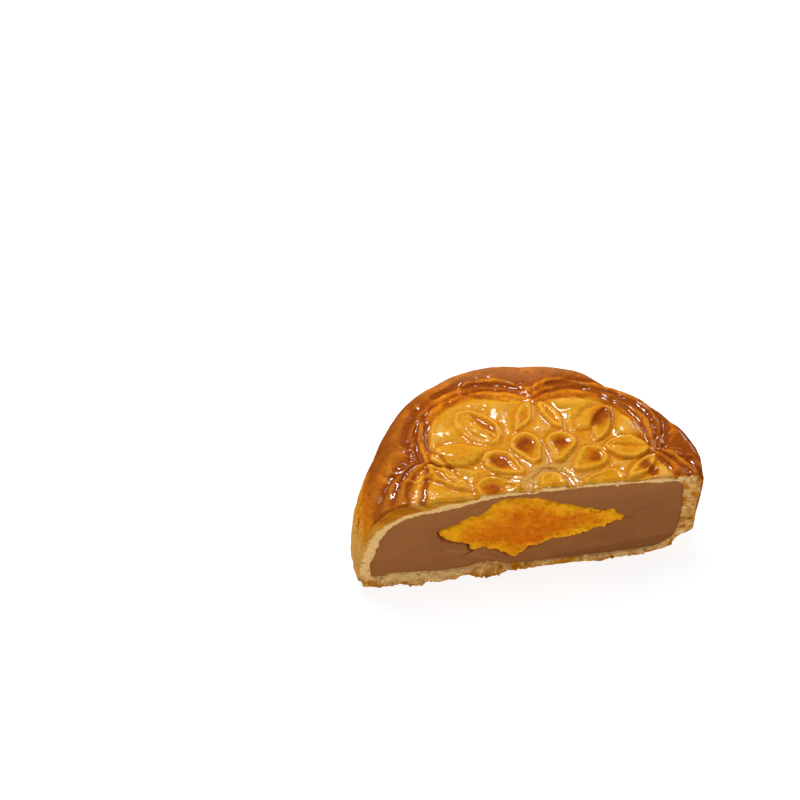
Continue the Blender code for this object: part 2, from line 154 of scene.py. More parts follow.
# Single creases, folds and patches of the top: places (x, distance behind the cut), reach to each side,
# height (below 0 for a crease) and extra browning (below 0 for a paler place)
TOP_MARKS = (
    (((-27.2, 10.0), (-28.4, 8.1), (-29.7, 5.9), (-30.7, 3.2), (-31.0, 2.0)), 1.6, -0.3, 0.36),
    (((-21.8, 9.0), (-22.6, 6.6), (-23.6, 3.4), (-24.3, 0.2)), 1.5, -0.3, 0.40),
    (((-27.0, 8.0), (-27.4, 4.0), (-28.5, 0.0)), 4.6, 0.0, 0.24),
    (((-28.0, 6.8), (-26.4, 7.3), (-24.4, 6.5), (-22.3, 8.2)), 0.8, 0.3, -0.10),
    (((-28.0, 4.2), (-28.2, 0.6)), 1.6, 0.2, 0.26),
    (((-33.9, 1.8), (-33.0, 3.6), (-32.1, 1.8)), 2.2, 0.0, 0.20),
    (((-31.8, 8.5), (-30.2, 11.0), (-29.4, 14.5)), 0.6, 0.2, -0.06),
    (((-22.5, 26.1), (-23.6, 23.2), (-24.2, 19.3), (-24.2, 16.7), (-23.9, 13.6), (-23.2, 12.8)),
     1.3, -0.2, 0.34),
    (((-27.1, 8.7), (-28.3, 7.3), (-29.5, 5.5), (-29.9, 3.5)), 1.1, -0.25, 0.34),
    (((-24.2, 16.7), (-24.6, 12.5), (-26.0, 10.2)), 1.5, -0.15, 0.32),
    (((-19.7, 24.2), (-20.6, 20.4), (-20.7, 16.9), (-20.0, 14.6), (-18.6, 12.2), (-16.5, 8.4), (-15.2, 5.2)),
     0.7, -0.20, 0.20),
    (((-14.5, 29.2), (-12.8, 29.8), (-10.7, 30.8), (-9.0, 31.7), (-6.0, 30.8), (-3.0, 29.9), (-0.4, 28.6)),
     1.0, -0.20, 0.22),
    (((-16.5, 33.2), (-15.3, 33.8), (-12.9, 34.7), (-10.4, 36.4), (-8.9, 37.6)), 1.4, -0.20, 0.24),
    (((-9.2, 34.1), (-6.5, 34.6), (-3.7, 34.3), (-0.7, 33.6), (2.5, 32.1)), 1.7, -0.10, 0.24),
    (((-10.4, 34.3), (-8.2, 36.0), (-4.9, 36.4), (-1.8, 35.9), (1.6, 33.9), (4.7, 31.8), (6.5, 30.6)),
     0.8, 0.3, -0.12),
    (((5.4, 31.9), (7.8, 33.2), (10.9, 34.0), (14.4, 33.9), (17.3, 32.4), (19.7, 30.4), (22.5, 28.2),
      (25.3, 26.5)), 0.9, 0.3, -0.12),
    (((11.5, 32.6), (14.6, 32.0), (17.6, 30.7)), 1.6, -0.1, 0.26),
    (((17.3, 31.2), (20.7, 29.1), (23.4, 28.1), (25.7, 25.5), (28.7, 23.3), (31.1, 19.9), (32.0, 17.1),
      (32.2, 14.0), (31.6, 9.2)), 1.7, -0.2, 0.34),
    (((-20.7, 25.3), (-21.5, 22.3), (-22.2, 18.9), (-22.4, 15.5), (-21.7, 13.6)), 0.9, 0.25, -0.10),
    (((-18.0, 24.8), (-18.8, 20.9), (-19.2, 17.5), (-18.5, 14.3)), 0.9, 0.25, -0.10),
    (((-21.7, 13.0), (-20.9, 9.8), (-22.0, 7.6)), 0.8, 0.35, -0.12),
    (((-20.6, 12.6), (-18.6, 10.0), (-17.6, 6.4), (-15.0, 3.2)), 0.8, 0.30, -0.10),
    (((-21.3, 12.3), (-20.5, 10.0)), 1.3, 0.0, 0.22),
    (((-20.0, 7.4), (-19.1, 5.5)), 1.6, 0.0, 0.20),
    (((16.3, 27.6), (20.1, 26.1), (23.4, 23.9), (25.7, 20.0), (26.9, 16.7), (26.9, 14.1), (28.6, 10.4)),
     0.9, -0.15, 0.16),
    (((29.8, 16.9), (29.9, 13.3)), 1.9, 0.35, 0.12),
    (((21.2, 22.0), (19.7, 19.9), (18.2, 18.0)), 1.9, 0.0, 0.22),
    (((22.2, 18.8), (21.4, 17.2)), 1.7, 0.0, 0.16),
    (((27.5, 3.3), (28.5, 2.0)), 1.6, 0.0, 0.26),
    (((33.2, 0.9), (36.5, 1.9)), 1.8, -0.1, 0.30),
    (((22.5, 26.5), (26.5, 21.5), (29.0, 16.5), (29.8, 12.0)), 3.4, 0.0, 0.24),
    (((26.3, 4.6), (28.0, 1.6)), 2.0, -0.15, 0.30),
    (((31.0, 6.0), (34.5, 1.0)), 1.4, -0.15, 0.24),
    # Paler bumps on the right rim and puffed-up pillows of the ground: their paleness is partly painted sheen
    (((33.9, 7.7),), 2.4, 0.5, -0.05),
    (((35.0, 13.0),), 3.0, 0.0, -0.10),
    (((-3.2, 26.7),), 3.4, 0.45, -0.08),
    (((12.4, 25.8), (16.6, 24.8)), 2.3, 0.55, -0.08),
    (((25.0, 18.0), (24.6, 14.2)), 3.0, 0.45, -0.06),
    (((-15.5, 20.4), (-13.0, 21.4)), 2.6, 0.40, -0.10),
    (((-20.6, 30.3), (-18.0, 32.2)), 1.9, 0.5, -0.06),
    (((-17.8, 28.0), (-14.4, 31.5)), 2.3, 0.35, -0.04),
    (((-11.6, 1.6),), 1.7, -0.15, 0.12),
    (((-28.9, 15.0), (-26.2, 16.2)), 2.6, 0.35, 0.10),
    (((-16.7, 12.7), (-9.9, 12.8)), 3.6, 0.35, 0.0),
)

# Slanted creases of the left end: places (distance behind the cut, height), then as above
SIDE_MARKS = (
    # The raised folds are paler partly as painted light along them
    (((7.5, 15.0), (4.0, 10.5), (1.6, 5.0)), 1.6, 0.40, -0.10),
    (((4.0, 17.5), (1.8, 14.0), (0.8, 10.0)), 1.4, 0.35, -0.10),
    (((5.6, 16.0), (2.8, 11.5), (1.0, 7.0)), 1.3, -0.35, 0.0),
    (((12.5, 13.0), (9.0, 8.0), (7.5, 2.5)), 1.9, 0.30, -0.04),
)

# Corner of the crust that has broken off at the right end of the cut: its outline as x and height, and how
# far back it goes
BROKEN_CORNER = (
    (24.0, -0.6), (27.6, 0.1), (30.6, 0.9), (33.3, 1.9), (34.0, 3.4), (34.6, 5.2), (36.6, 5.9), (38.3, 7.0),
    (39.0, 8.8), (39.4, 12.0), (41.0, 15.0),
)
BROKEN_BACK = 5.5

# How far the lumps of the base crust stand forward of the cut: x, distance
BASE_LUMPS = (
    (-39.0, 0.0), (-33.0, 0.2), (-29.5, 0.3), (-27.7, 0.95), (-24.6, 0.4), (-22.4, 1.5), (-19.5, 0.7),
    (-16.5, 1.0), (-11.4, 0.4), (-7.7, 1.6), (-5.5, 0.9), (-3.8, 0.1), (1.0, 0.1), (5.1, 0.3), (10.0, 0.2),
    (15.1, 1.1), (18.0, 0.4), (23.0, 0.3), (29.0, 0.0),
)

# Rows of the cut crust from the glazed edge to the paste, and of the hidden room behind it
STRIP_ROWS = 16
ROOM_ROWS = 16
ROOM_BACK = 38.5
ROOM_DEPTHS = [ROOM_BACK * math.sin(math.pi / 2 * row / ROOM_ROWS) for row in range(1, ROOM_ROWS)]

# How much less browned and how much yellower the glazed edge is where it turns down to the cut
EDGE_PALER = 0.26
EDGE_YELLOW = 0.45

# How much of the crust's thickness keeps its glaze at the cut, by place along the cut
GLAZED_SHARE = (
    (-39.0, 0.16), (-35.0, 0.28), (-31.0, 0.56), (-26.0, 0.68), (-20.0, 0.6), (-13.0, 0.32), (-10.0, 0.2),
    (30.0, 0.16), (36.0, 0.1),
)

# Points round the paste and the yolk, rows of their cut faces and of the yolk's back, how far back the paste
# goes, how far it laps into the crust, and how far behind the cut the yolk's room and its back begin
FILLING_COLUMNS = 420
PASTE_ROWS = 56
PASTE_BACK = 38.3
PASTE_OVERLAP = 1.012
YOLK_ROWS = 46
HIDDEN_YOLK_ROWS = 8
YOLK_ROOM = 1.2
YOLK_SETBACK = 0.9
# Points over which the gap beside the yolk is evened out, to each side
GAP_BLUR = 6

# Loose crumbs: their number, half widths, the area of cut crust they belong to and their seed
CRUMBS = 420
SMALLEST_CRUMB = 0.13
LARGEST_CRUMB = 0.46
CRUMB_FACE_AREA = 350.0
CRUMB_SEED = 7

# The sizes of the shared grain where its own size is 1
GRAINS = (("Patches", 9.0), ("Mottle", 2.2), ("Specks", 0.7), ("Pores", 0.32))

# The stage. Lights: name, the setting of their power and their share of it, place, size, and whether
# glossy reflections show them
LIGHTS = (
    ("key", "key_power", 1.0, (-70.0, 270.0, 420.0), 110.0, True),
    ("right window", "window_power", 1.0, (300.0, 280.0, 150.0), 120.0, True),
    ("left window", "window_power", 0.6, (-306.0, 252.0, 190.0), 120.0, True),
    ("sky", "sky_power", 1.0, (-40.0, 190.0, 520.0), 320.0, False),
    ("fill", "fill_power", 1.0, (-60.0, -520.0, 330.0), 420.0, False),
)
LIGHT_AIM = (0.0, 0.0, 12.0)
CAMERA_PLACE = (-82.5, -359.8, 428.5)
CAMERA_AIM = (-24.3, 11.9, 24.6)
FLOOR_SIZE = 4000.0
FLOOR_SPECK = (0.27, 0.27, 0.27)
FLOOR_GLOW = 0.8
WORLD_STRENGTH = 0.2


def length_property(label, words, value, least=0.0):
    """A size in millimetres that a user may change."""
    return FloatProperty(name=label, description=words, default=value * MM, min=least * MM,
                         unit="LENGTH", subtype="DISTANCE")


def power_property(label, words, value):
    """A lamp's power in watts."""
    return FloatProperty(name=label, description=words, default=value, min=0.0, unit="POWER")


def colour_property(label, words, value):
    """A colour that a user may change."""
    return FloatVectorProperty(name=label, description=words, default=value, size=3, min=0.0, max=1.0,
                               subtype="COLOR")


class HalfCakeSizes(bpy.types.PropertyGroup):
    """Sizes of the half."""

    half_length: length_property(
        "Half length", "From the middle of the cut to its end, on a lobe of the side", HALF_LENGTH, 10.0)
    depth: length_property("Depth", "From the cut to the back, on a lobe of the side", DEPTH, 10.0)
    height: length_property("Height", "Height of the plain top at the cut", HEIGHT, 5.0)
    flute_top: length_property(
        "Flutes at the shoulder", "Depth of the flutes where the side meets the top", FLUTE_TOP)
    flute_base: length_property(
        "Flutes at the base", "Depth of the flutes at the foot of the side", FLUTE_BASE)
    ornament: length_property("Ornament", "Radius that carries the pressed flower's layout", LAYOUT, 5.0)
    yolk_depth: length_property(
        "Yolk depth", "How far the hidden part of the yolk reaches behind the cut", YOLK_DEPTH, 2.0)
    relief: FloatProperty(
        name="Relief", description="How strongly the ornament stands out, 1 for the photographed cake",
        default=1.0, min=0.0, max=2.0, subtype="FACTOR")
    crumbs: IntProperty(
        name="Crumbs", description="Loose crumbs along the cut crust", default=CRUMBS, min=0, max=3000)


class HalfCakeColours(bpy.types.PropertyGroup):
    """Colours of crust and filling, as linear values."""

    pale: colour_property("Pale crust", "Side that the oven hardly browned", (0.60, 0.32, 0.08))
    golden: colour_property("Golden crust", "Raised ornament", (0.56, 0.195, 0.005))
    # Amber is also the painted shade beside the flower's shapes and in its hollows
    amber: colour_property("Amber crust", "Egg wash that has browned", (0.47, 0.125, 0.004))
    brown: colour_property("Brown crust", "Rim and hollows", (0.31, 0.067, 0.004))
    dark: colour_property("Dark crust", "Deep grooves", (0.17, 0.03, 0.004))
    land: colour_property("Land", "Wet yellow ground between the petals", (0.48, 0.222, 0.008))
    # Pale colour of the puffed-up ground between the leaves, partly painted sheen on those pillows; also the
    # painted sheen on the wet moat and on the back rim
    blister_and_sheen: colour_property("Blister", "Paler swollen ground between the leaves", (0.63, 0.385, 0.15))
    # Crest is partly the tops' own paler colour, partly painted light on what stands out
    crest: colour_property("Crest", "Yellow tops of the pressed flower's ridges", (0.66, 0.29, 0.03))
    # Pooled glaze is also painted shade in the flower's hollows
    pooled: colour_property("Pooled glaze", "Glaze that has run together round the boss", (0.32, 0.16, 0.03))
    crumb: colour_property("Crumb", "Broken crust at the cut", (0.97, 0.60, 0.23))
    paste: colour_property("Paste", "Lotus seed paste", (0.205, 0.069, 0.016))
    paste_light: colour_property("Light paste", "Paler and smeared paste", (0.315, 0.116, 0.029))
    yolk: colour_property("Yolk", "Middle of the salted yolk", (0.66, 0.15, 0.0))
    yolk_rim: colour_property("Yolk rim", "Dry outside of the yolk", (0.88, 0.40, 0.005))


class StudioSettings(bpy.types.PropertyGroup):
    """Floor, light and camera."""

    floor: colour_property("Floor", "Plain pale floor", (0.3, 0.3, 0.3))
    key_power: power_property("Key light", "Power of the large soft light behind and above", 1.9)
    sky_power: power_property("Sky light", "Power of the broad soft light overhead", 1.5)
    window_power: power_property("Window lights", "Power of the low lights at both ends", 0.3)
    fill_power: power_property("Fill light", "Power of the soft light in front", 1.7)
    lens: FloatProperty(
        name="Lens", description="Focal length on a 36 mm sensor", default=108.0 * MM, min=20.0 * MM,
        subtype="DISTANCE_CAMERA")


class Value:
    """A number that a node tree works out. Arithmetic on it adds math nodes to its tree."""

    def __init__(self, socket):
        self.socket = socket

    def math(self, operation, *others, clamp=False, flipped=False):
        node = self.socket.id_data.nodes.new("ShaderNodeMath")
        node.operation = operation
        node.use_clamp = clamp
        items = (*others, self) if flipped else (self, *others)
        for place, item in zip(node.inputs, items):
            feed(place, item)
        return Value(node.outputs[0])

    def __add__(self, other):
        return self.math("ADD", other)

    def __sub__(self, other):
        return self.math("SUBTRACT", other)

    def __rsub__(self, other):
        return self.math("SUBTRACT", other, flipped=True)

    def __mul__(self, other):
        return self.math("MULTIPLY", other)

    def __truediv__(self, other):
        return self.math("DIVIDE", other)

    def __rtruediv__(self, other):
        return self.math("DIVIDE", other, flipped=True)

    def __pow__(self, other):
        return self.math("POWER", other)

    def __abs__(self):
        return self.math("ABSOLUTE")

    __radd__ = __add__
    __rmul__ = __mul__


def feed(place, item):
    """Link a value or a socket to an input, or set the input to a plain number."""
    if isinstance(item, Value):
        item = item.socket
    if isinstance(item, bpy.types.NodeSocket):
        place.id_data.links.new(item, place)
    else:
        place.default_value = item


def add_node(tree, kind, inputs=None, **settings):
    """Add a node, set its options and feed its inputs by name or place."""
    node = tree.nodes.new(kind)
    for name, setting in settings.items():
        setattr(node, name, setting)
    for name, item in (inputs or {}).items():
        feed(node.inputs[name], item)
    return node


def low_of(a, b):
    return a.math("MINIMUM", b)


def high_of(a, b):
    return a.math("MAXIMUM", b)


def clamped(a):
    return a.math("ADD", 0.0, clamp=True)


def root(a):
    return a.math("SQRT")


def sine(degrees):
    return (degrees * (math.pi / 180)).math("SINE")


def cosine(degrees):
    return (degrees * (math.pi / 180)).math("COSINE")


def length_of(a, b):
    return root(a * a + b * b)


def is_over(a, b):
    return a.math("GREATER_THAN", b)


def is_under(a, b):
    return a.math("LESS_THAN", b)


def blend_of(a, b, share):
    """From a at share 0 to b at share 1."""
    return a * (1.0 - share) + b * share


def ramp(low, high, x):
    """Smooth step from 0 at low to 1 at high."""
    node = add_node(x.socket.id_data, "ShaderNodeMapRange", {"Value": x, "From Min": low, "From Max": high},
                    interpolation_type="SMOOTHSTEP")
    return Value(node.outputs[0])


def ridge(distance, width):
    """1 on a line, falling smoothly to 0 at the width on both sides."""
    part = distance / width
    hump = (part * part).math("SUBTRACT", 1.0, flipped=True, clamp=True)
    return hump * hump


def cushion(distance, width):
    """Rises from 0 at a shape's edge to 1 at the width inside it."""
    left = (distance / width).math("ADD", 1.0, clamp=True)
    return root(1.0 - left * left)


def fold(angle, axis, span):
    """The angle from the nearest of the axes that repeat every span, and that axis's number."""
    shifted = angle - (axis - span / 2)
    return shifted.math("FLOORED_MODULO", span) - span / 2, (shifted / span).math("FLOOR")


def almond(x, y, start, end, half_width):
    """Signed distance to a pointed leaf between two points."""
    middle_x = (start[0] + end[0]) / 2
    middle_y = (start[1] + end[1]) / 2
    half_length = math.hypot(end[0] - start[0], end[1] - start[1]) / 2
    along_x = (end[0] - start[0]) / (2 * half_length)
    along_y = (end[1] - start[1]) / (2 * half_length)
    along = (x - middle_x) * along_x + (y - middle_y) * along_y
    across = abs((y - middle_y) * along_x - (x - middle_x) * along_y)
    radius = (half_length ** 2 + half_width ** 2) / (2 * half_width)
    return length_of(along, across + (radius - half_width)) - radius


def spot(radius, degrees):
    """A point at a radius and an angle."""
    angle = math.radians(degrees)
    return radius * math.cos(angle), radius * math.sin(angle)


def noise_value(tree, place, size, seed=0.0, detail=2.0, rough=0.5):
    """Soft noise from -1 to 1 with lumps of the given size."""
    node = add_node(tree, "ShaderNodeTexNoise", {
        "Vector": place, "W": seed, "Scale": 1.0 / size, "Detail": detail, "Roughness": rough},
        noise_dimensions="4D")
    return (Value(node.outputs[0]) - 0.5) * 2.0


def random_of(tree, number, seed):
    """A random number from 0 to 1 for each whole number."""
    node = add_node(tree, "ShaderNodeTexWhiteNoise", {"W": number + seed}, noise_dimensions="1D")
    return Value(node.outputs[0])


def new_tree(name, inputs, outputs):
    """A geometry tree with named inputs. Returns it, its inputs and its output node."""
    tree = bpy.data.node_groups.new(name, "GeometryNodeTree")
    for label, kind, start in inputs:
        item = tree.interface.new_socket(label, in_out="INPUT", socket_type=kind)
        if start is not None:
            item.default_value = start
    for label, kind in outputs:
        tree.interface.new_socket(label, in_out="OUTPUT", socket_type=kind)
    source = tree.nodes.new("NodeGroupInput")
    given = {label: Value(source.outputs[label]) for label, kind, start in inputs}
    return tree, given, tree.nodes.new("NodeGroupOutput")


def store(tree, geometry, name, value):
    """Keep a number on every point under a name."""
    node = add_node(tree, "GeometryNodeStoreNamedAttribute", {"Geometry": geometry, "Name": name},
                    data_type="FLOAT", domain="POINT")
    feed(next(s for s in node.inputs if s.name == "Value" and s.enabled), value)
    return node.outputs["Geometry"]


def recall(tree, name):
    """Read a number kept on the points."""
    node = add_node(tree, "GeometryNodeInputNamedAttribute", {"Name": name}, data_type="FLOAT")
    return Value(next(s for s in node.outputs if s.name == "Attribute" and s.enabled))


def parts_of(tree, vector):
    """The three numbers of a vector."""
    node = add_node(tree, "ShaderNodeSeparateXYZ", {0: vector})
    return [Value(s) for s in node.outputs]


def vector_of(tree, x, y, z):
    """A vector from three numbers."""
    return add_node(tree, "ShaderNodeCombineXYZ", {0: x, 1: y, 2: z}).outputs[0]


def finish_tree(tree, geometry, material, result):
    """End a geometry tree: real mesh with its material."""
    real = add_node(tree, "GeometryNodeRealizeInstances", {0: geometry}).outputs[0]
    done = add_node(tree, "GeometryNodeSetMaterial", {"Geometry": real, "Material": material.socket})
    feed(result.inputs[0], done.outputs[0])


def run_tree(tree, values, name, mesh=None):
    """Evaluate a geometry tree on a new object and return the result as a plain mesh."""
    thing = bpy.data.objects.new(name, mesh or bpy.data.meshes.new(name))
    bpy.context.scene.collection.objects.link(thing)
    modifier = thing.modifiers.new("shape", "NODES")
    modifier.node_group = tree
    for item in tree.interface.items_tree:
        if item.in_out == "INPUT" and item.name in values:
            modifier[item.identifier] = values[item.name]
    graph = bpy.context.evaluated_depsgraph_get()
    evaluated = thing.evaluated_get(graph)
    result = bpy.data.meshes.new_from_object(evaluated, preserve_all_data_layers=True, depsgraph=graph)
    thing.modifiers.remove(modifier)
    bpy.data.objects.remove(thing)
    return result


def side_choice(across, right, back, left):
    """A size that changes from the right end over the back to the left end."""
    return back + ramp(0.55, 1.0, across) * (right - back) + ramp(-0.3, -0.97, across) * (left - back)


def to_ornament(tree, x, behind, unit):
    """Plan place to the place in the ornament's layout, undoing how the slumped top stretched it."""
    dx = x - ORNAMENT_X
    dy = behind - ORNAMENT_BEHIND_CUT
    radius = length_of(dx, dy) * (LAYOUT / unit)
    share = radius / LAYOUT
    angle = dy.math("ARCTAN2", dx) * DEGREES - ORNAMENT_TURN
    sideways = cosine(angle)
    reach = (share * share).math("MINIMUM", 1.0)
    left = high_of(sideways * -STRETCH_LEFT, 0.0) * reach
    right = high_of(sideways * STRETCH_RIGHT, 0.0) * reach * ramp(1.4, 0.95, share)
    angle = angle + ramp(-0.5, -1.0, sideways) * share.math("MINIMUM", 1.0) * LEFT_END_TURN
    radius = radius / (left - right + 1.0)
    flat = [radius * cosine(angle), radius * sine(angle)]
    place = vector_of(tree, *flat, 0.0)
    bent = []
    for value, (broad_seed, fine_seed) in zip(flat, ((1.3, 3.1), (7.7, 9.4))):
        broad = noise_value(tree, place, 8.0, broad_seed, 3.0)
        fine = noise_value(tree, place, 2.4, fine_seed, 2.0)
        bent.append(value + broad * BROAD_WANDER + fine * FINE_WANDER)
    return bent


def petal_parts(tree, radius, angle):
    """Ten drops round the boss: raised ring, sunk dish, browning and signed distance."""
    turned, number = fold(angle, 0.0, TENTH)
    chance = random_of(tree, number, 3.0)
    other = random_of(tree, number, 21.0)
    head = PETAL_HEAD + chance * 0.35
    along = PETAL_MIDDLE - radius * cosine(turned)
    across = abs(radius * sine(turned))
    slope = (head - PETAL_TAIL) / PETAL_SPAN
    lean = root(1.0 - slope * slope)
    nearest = high_of(low_of(along - across * slope / lean, PETAL_SPAN), 0.0)
    edge = length_of(across, along - nearest) - (head - slope * nearest)
    raised = ridge(edge + 0.65, RING_WIDTH) * (0.26 + other * 0.14) + ramp(0.5, -0.8, edge) * 0.5
    plain = is_under(abs(number), 0.5)
    dish = ramp(-1.1, -2.4, edge) * (0.15 + chance * 0.15) * (1.0 - plain)
    brown = ramp(-0.5, -2.7, edge) * ramp(5.2, 0.0, along) * (0.54 + other * 0.26) * (1.0 - plain * 0.85)
    return raised, dish, brown, edge


def petal_crease(radius, angle):
    """Thin creases between neighbouring petals."""
    across = radius * sine(fold(angle, TENTH / 2, TENTH)[0])
    return ridge(across, 0.55) * ramp(4.0, 6.0, radius) * ramp(16.5, 14.5, radius)


def leaf_between(along, across, start, end, half_width):
    """Signed distance to a pointed leaf between two shares of the layout's radius."""
    return almond(along, across, (start * LAYOUT, 0.0), (end * LAYOUT, 0.0), half_width)


def ringed_leaf(along, across, edge):
    """A leaf that is a ring round a pillow with a dark crescent: its height, cut and browning."""
    ring = ridge(edge + 0.62, RING_WIDTH) * (0.45 - ramp(-1.0, 2.0, across) * 0.2)
    ring = ring + ramp(0.5, -1.2, edge) * 0.45
    pillow = cushion(leaf_between(along, across - 0.7, 0.66, 0.98, 1.9), 1.3) * 0.7
    crescent = leaf_between(along, across + 1.75, 0.70, 1.02, 1.5)
    crease = ridge(across + 0.35, 0.5) * ramp(0.68 * LAYOUT, 0.74 * LAYOUT, along)
    crease = crease * ramp(0.98 * LAYOUT, 0.92 * LAYOUT, along)
    cut = ramp(0.3, -1.2, crescent) * 0.4 + crease * 0.5
    return high_of(ring, pillow + 0.2), cut, ramp(0.5, -1.2, crescent) * 0.5 + crease * 0.3


def twin_leaf(along, across, edge):
    """A leaf that is two pillows with a slit between them: its height, cut and browning."""
    tip = (LEAF_TIP, 0.2)
    left_edge = almond(along, across, (0.66 * LAYOUT, 3.4), tip, 2.7)
    right_edge = almond(along, across, (0.63 * LAYOUT, -2.6), tip, 2.3)
    left_half = cushion(left_edge, 2.4) * 0.95
    right_half = cushion(right_edge, 1.8) * 0.75 + ridge(right_edge + 0.5, 0.8) * 0.3
    slit = across - (LEAF_TIP - along) * 0.045
    slit_edge = ramp(0.72 * LAYOUT, 0.84 * LAYOUT, along) * ramp(LEAF_TIP, LAYOUT, along)
    outer_end = ramp(0.80 * LAYOUT, LAYOUT, along) * ramp(0.4, -1.4, edge)
    brown = ridge(slit + 0.5, 3.4) * slit_edge * 0.5 + outer_end * 0.35
    return high_of(left_half, right_half), ridge(slit, 1.1) * slit_edge * 0.55, brown


def leaf_parts(radius, angle):
    """Five leaves outside the petals: height, cut, browning and signed distance."""
    turned, number = fold(angle, LEAF_AXIS, FIFTH)
    along = radius * cosine(turned)
    across = radius * sine(turned)
    edge = leaf_between(along, across, 0.62, 1.09, 0.165 * LAYOUT)
    ringed = is_under(abs(number - 1.0), 0.5)
    kinds = zip(twin_leaf(along, across, edge), ringed_leaf(along, across, edge))
    return [*(blend_of(twin, ring, ringed) for twin, ring in kinds), edge]


def pair_parts(radius, angle):
    """Pairs of leaves that meet on the swags' low points: height, browning, bulge beside them, distance."""
    turned, number = fold(angle, PAIR_AXIS, FIFTH)
    x = radius * cosine(turned)
    y = abs(radius * sine(turned))
    upper = is_over(turned, 0.0)
    first = is_under(abs(number), 0.5)
    third = is_under(abs(number - 2.0), 0.5)
    broad = upper * first + (1.0 - upper) * third
    slim_edge = almond(x, y, spot(LAYOUT, 2.0), spot(0.65 * LAYOUT, 18.0), 0.075 * LAYOUT)
    broad_edge = almond(x, y, spot(LAYOUT, 2.5), spot(0.63 * LAYOUT, 20.5), 0.130 * LAYOUT)
    slot_edge = almond(x, y, spot(LAYOUT, 3.0), spot(0.66 * LAYOUT, 19.5), 0.02 * LAYOUT)
    slim = ridge(slim_edge + 0.55, 0.9) * 0.3 + ramp(0.4, -0.9, slim_edge) * 0.55
    wide = ridge(broad_edge + 0.5, 0.7) * (0.1 + first * 0.2)
    wide = wide + cushion(broad_edge, 2.4) * (1.15 - first * 0.2)
    wide = wide - ramp(0.5, -0.4, slot_edge) * first * 0.35
    brown = ramp(-0.6, -1.7, slim_edge) * (1.0 - broad) * 0.24 + ramp(-0.5, -2.4, broad_edge) * broad * 0.14
    bulge_x, bulge_y = spot(0.93 * LAYOUT, 21.0)
    bulge = ridge(length_of(x - bulge_x, y - bulge_y), 4.2) * 0.6
    return blend_of(slim, wide, broad), brown, bulge, blend_of(slim_edge, broad_edge, broad)


def border_parts(tree, x, y, radius, angle):
    """The border of swags: two ridges, the grooves beside them and the rim outside."""
    turned = fold(angle, PAIR_AXIS, FIFTH)[0]
    swag = sine(abs(turned) * (90.0 / TENTH))
    inner = swag * (0.22 * LAYOUT) + 0.95 * LAYOUT
    outer = swag ** 0.8 * (0.26 * LAYOUT) + 1.09 * LAYOUT
    plan = vector_of(tree, x, y, 0.0)
    wander = noise_value(tree, plan, 6.0, 17.0, 2.0) * 0.16 + noise_value(tree, plan, 2.2, 18.0, 2.0) * 0.08
    place = (radius - inner) / (outer - inner) + wander
    outside = radius - outer
    inside_groove = ridge(radius - inner, 0.9)
    channel = ridge(place - 0.51, 0.13)
    outside_groove = ridge(outside - 0.1, 1.5)
    rim = ramp(0.2, 3.4, outside)
    softer = 1.0 - ramp(17.0, 26.0, y) * 0.4
    ridges = high_of(ridge(place - 0.27, 0.29) * 0.6, ridge(place - 0.76, 0.29) * 0.55)
    pinch = (ramp(1.0, 9.0, abs(turned)) * 0.65 + 0.35) * softer
    cut = (inside_groove * 0.28 + channel * 0.14 + outside_groove * 0.45) * pinch
    spandrel = almond(radius * cosine(turned), abs(radius * sine(turned)),
                      spot(1.08 * LAYOUT, 1.0), spot(1.36 * LAYOUT, 8.0), 0.05 * LAYOUT)
    raised = high_of(high_of(ridges * softer, rim * 0.5), ridge(spandrel + 0.5, 0.8) * 0.35)
    brown = (channel * 0.14 + outside_groove * 0.20) * pinch + inside_groove * 0.06
    return raised, cut, brown + ramp(0.1, 0.6, place) * 0.08, place, outside, rim


def ornament(tree, x, behind, unit):
    """The pressed flower over the plan, as the numbers that each point keeps, by name."""
    x, y = to_ornament(tree, x, behind, unit)
    radius = length_of(x, y)
    angle = y.math("ARCTAN2", x) * DEGREES
    boss = cushion(radius - BOSS_RADIUS, 0.8) * 0.75
    boss = boss + ridge(radius - 2.7, 0.9) * 0.2 + ridge(radius, 1.1) * 0.15
    moat = ridge(radius - 4.6, 1.4)
    petal, dish, petal_brown, petal_edge = petal_parts(tree, radius, angle)
    crease = petal_crease(radius, angle)
    leaf, leaf_cut, leaf_brown, leaf_edge = leaf_parts(radius, angle)
    pair, pair_brown, bulge, pair_edge = pair_parts(radius, angle)
    border, border_cut, border_brown, place, outside, rim = border_parts(tree, x, y, radius, angle)
    within = ramp(0.2, -0.1, place)
    drawn = low_of(low_of(petal_edge, leaf_edge), low_of(pair_edge, radius - 3.4))
    open_ground = ramp(0.1, 1.0, drawn) * within
    ground = ramp(0.2, 2.8, drawn) * ramp(6.0, 9.0, radius) * ramp(-0.05, -0.5, place)
    flower = high_of(high_of(boss, petal), high_of(high_of(leaf, pair), high_of(bulge, ground * 0.5)))
    cut = (moat * 0.5 + dish + crease * 0.04 + leaf_cut) * within + border_cut
    brown = high_of(high_of(petal_brown, leaf_brown), high_of(pair_brown, ridge(radius, 1.3) * 0.3)) * within
    # The band just outside the drawn shapes, which the material paints as shade
    valley = ridge(drawn - 0.35, 0.95) * ramp(4.4, 5.5, radius)
    return {
        "relief": high_of(flower * within * 1.15, border) - cut,
        "ornament_bake": brown * 0.43 + border_brown + ramp(-0.1, 0.5, place) * 0.20 + rim * 0.10,
        "field": within * (1.0 - clamped(brown * 1.7 + ramp(-0.5, 0.0, place) * 0.4)),
        "wet": clamped(open_ground * ramp(17.0, 6.0, radius) + border_cut * 0.8 + crease * 0.2),
        # Below 0 in the band beside the shapes, where the material paints shade; above 0 on the puffed-up
        # ground
        "ground": (ground - valley) * within,
        "outside": outside,
    }


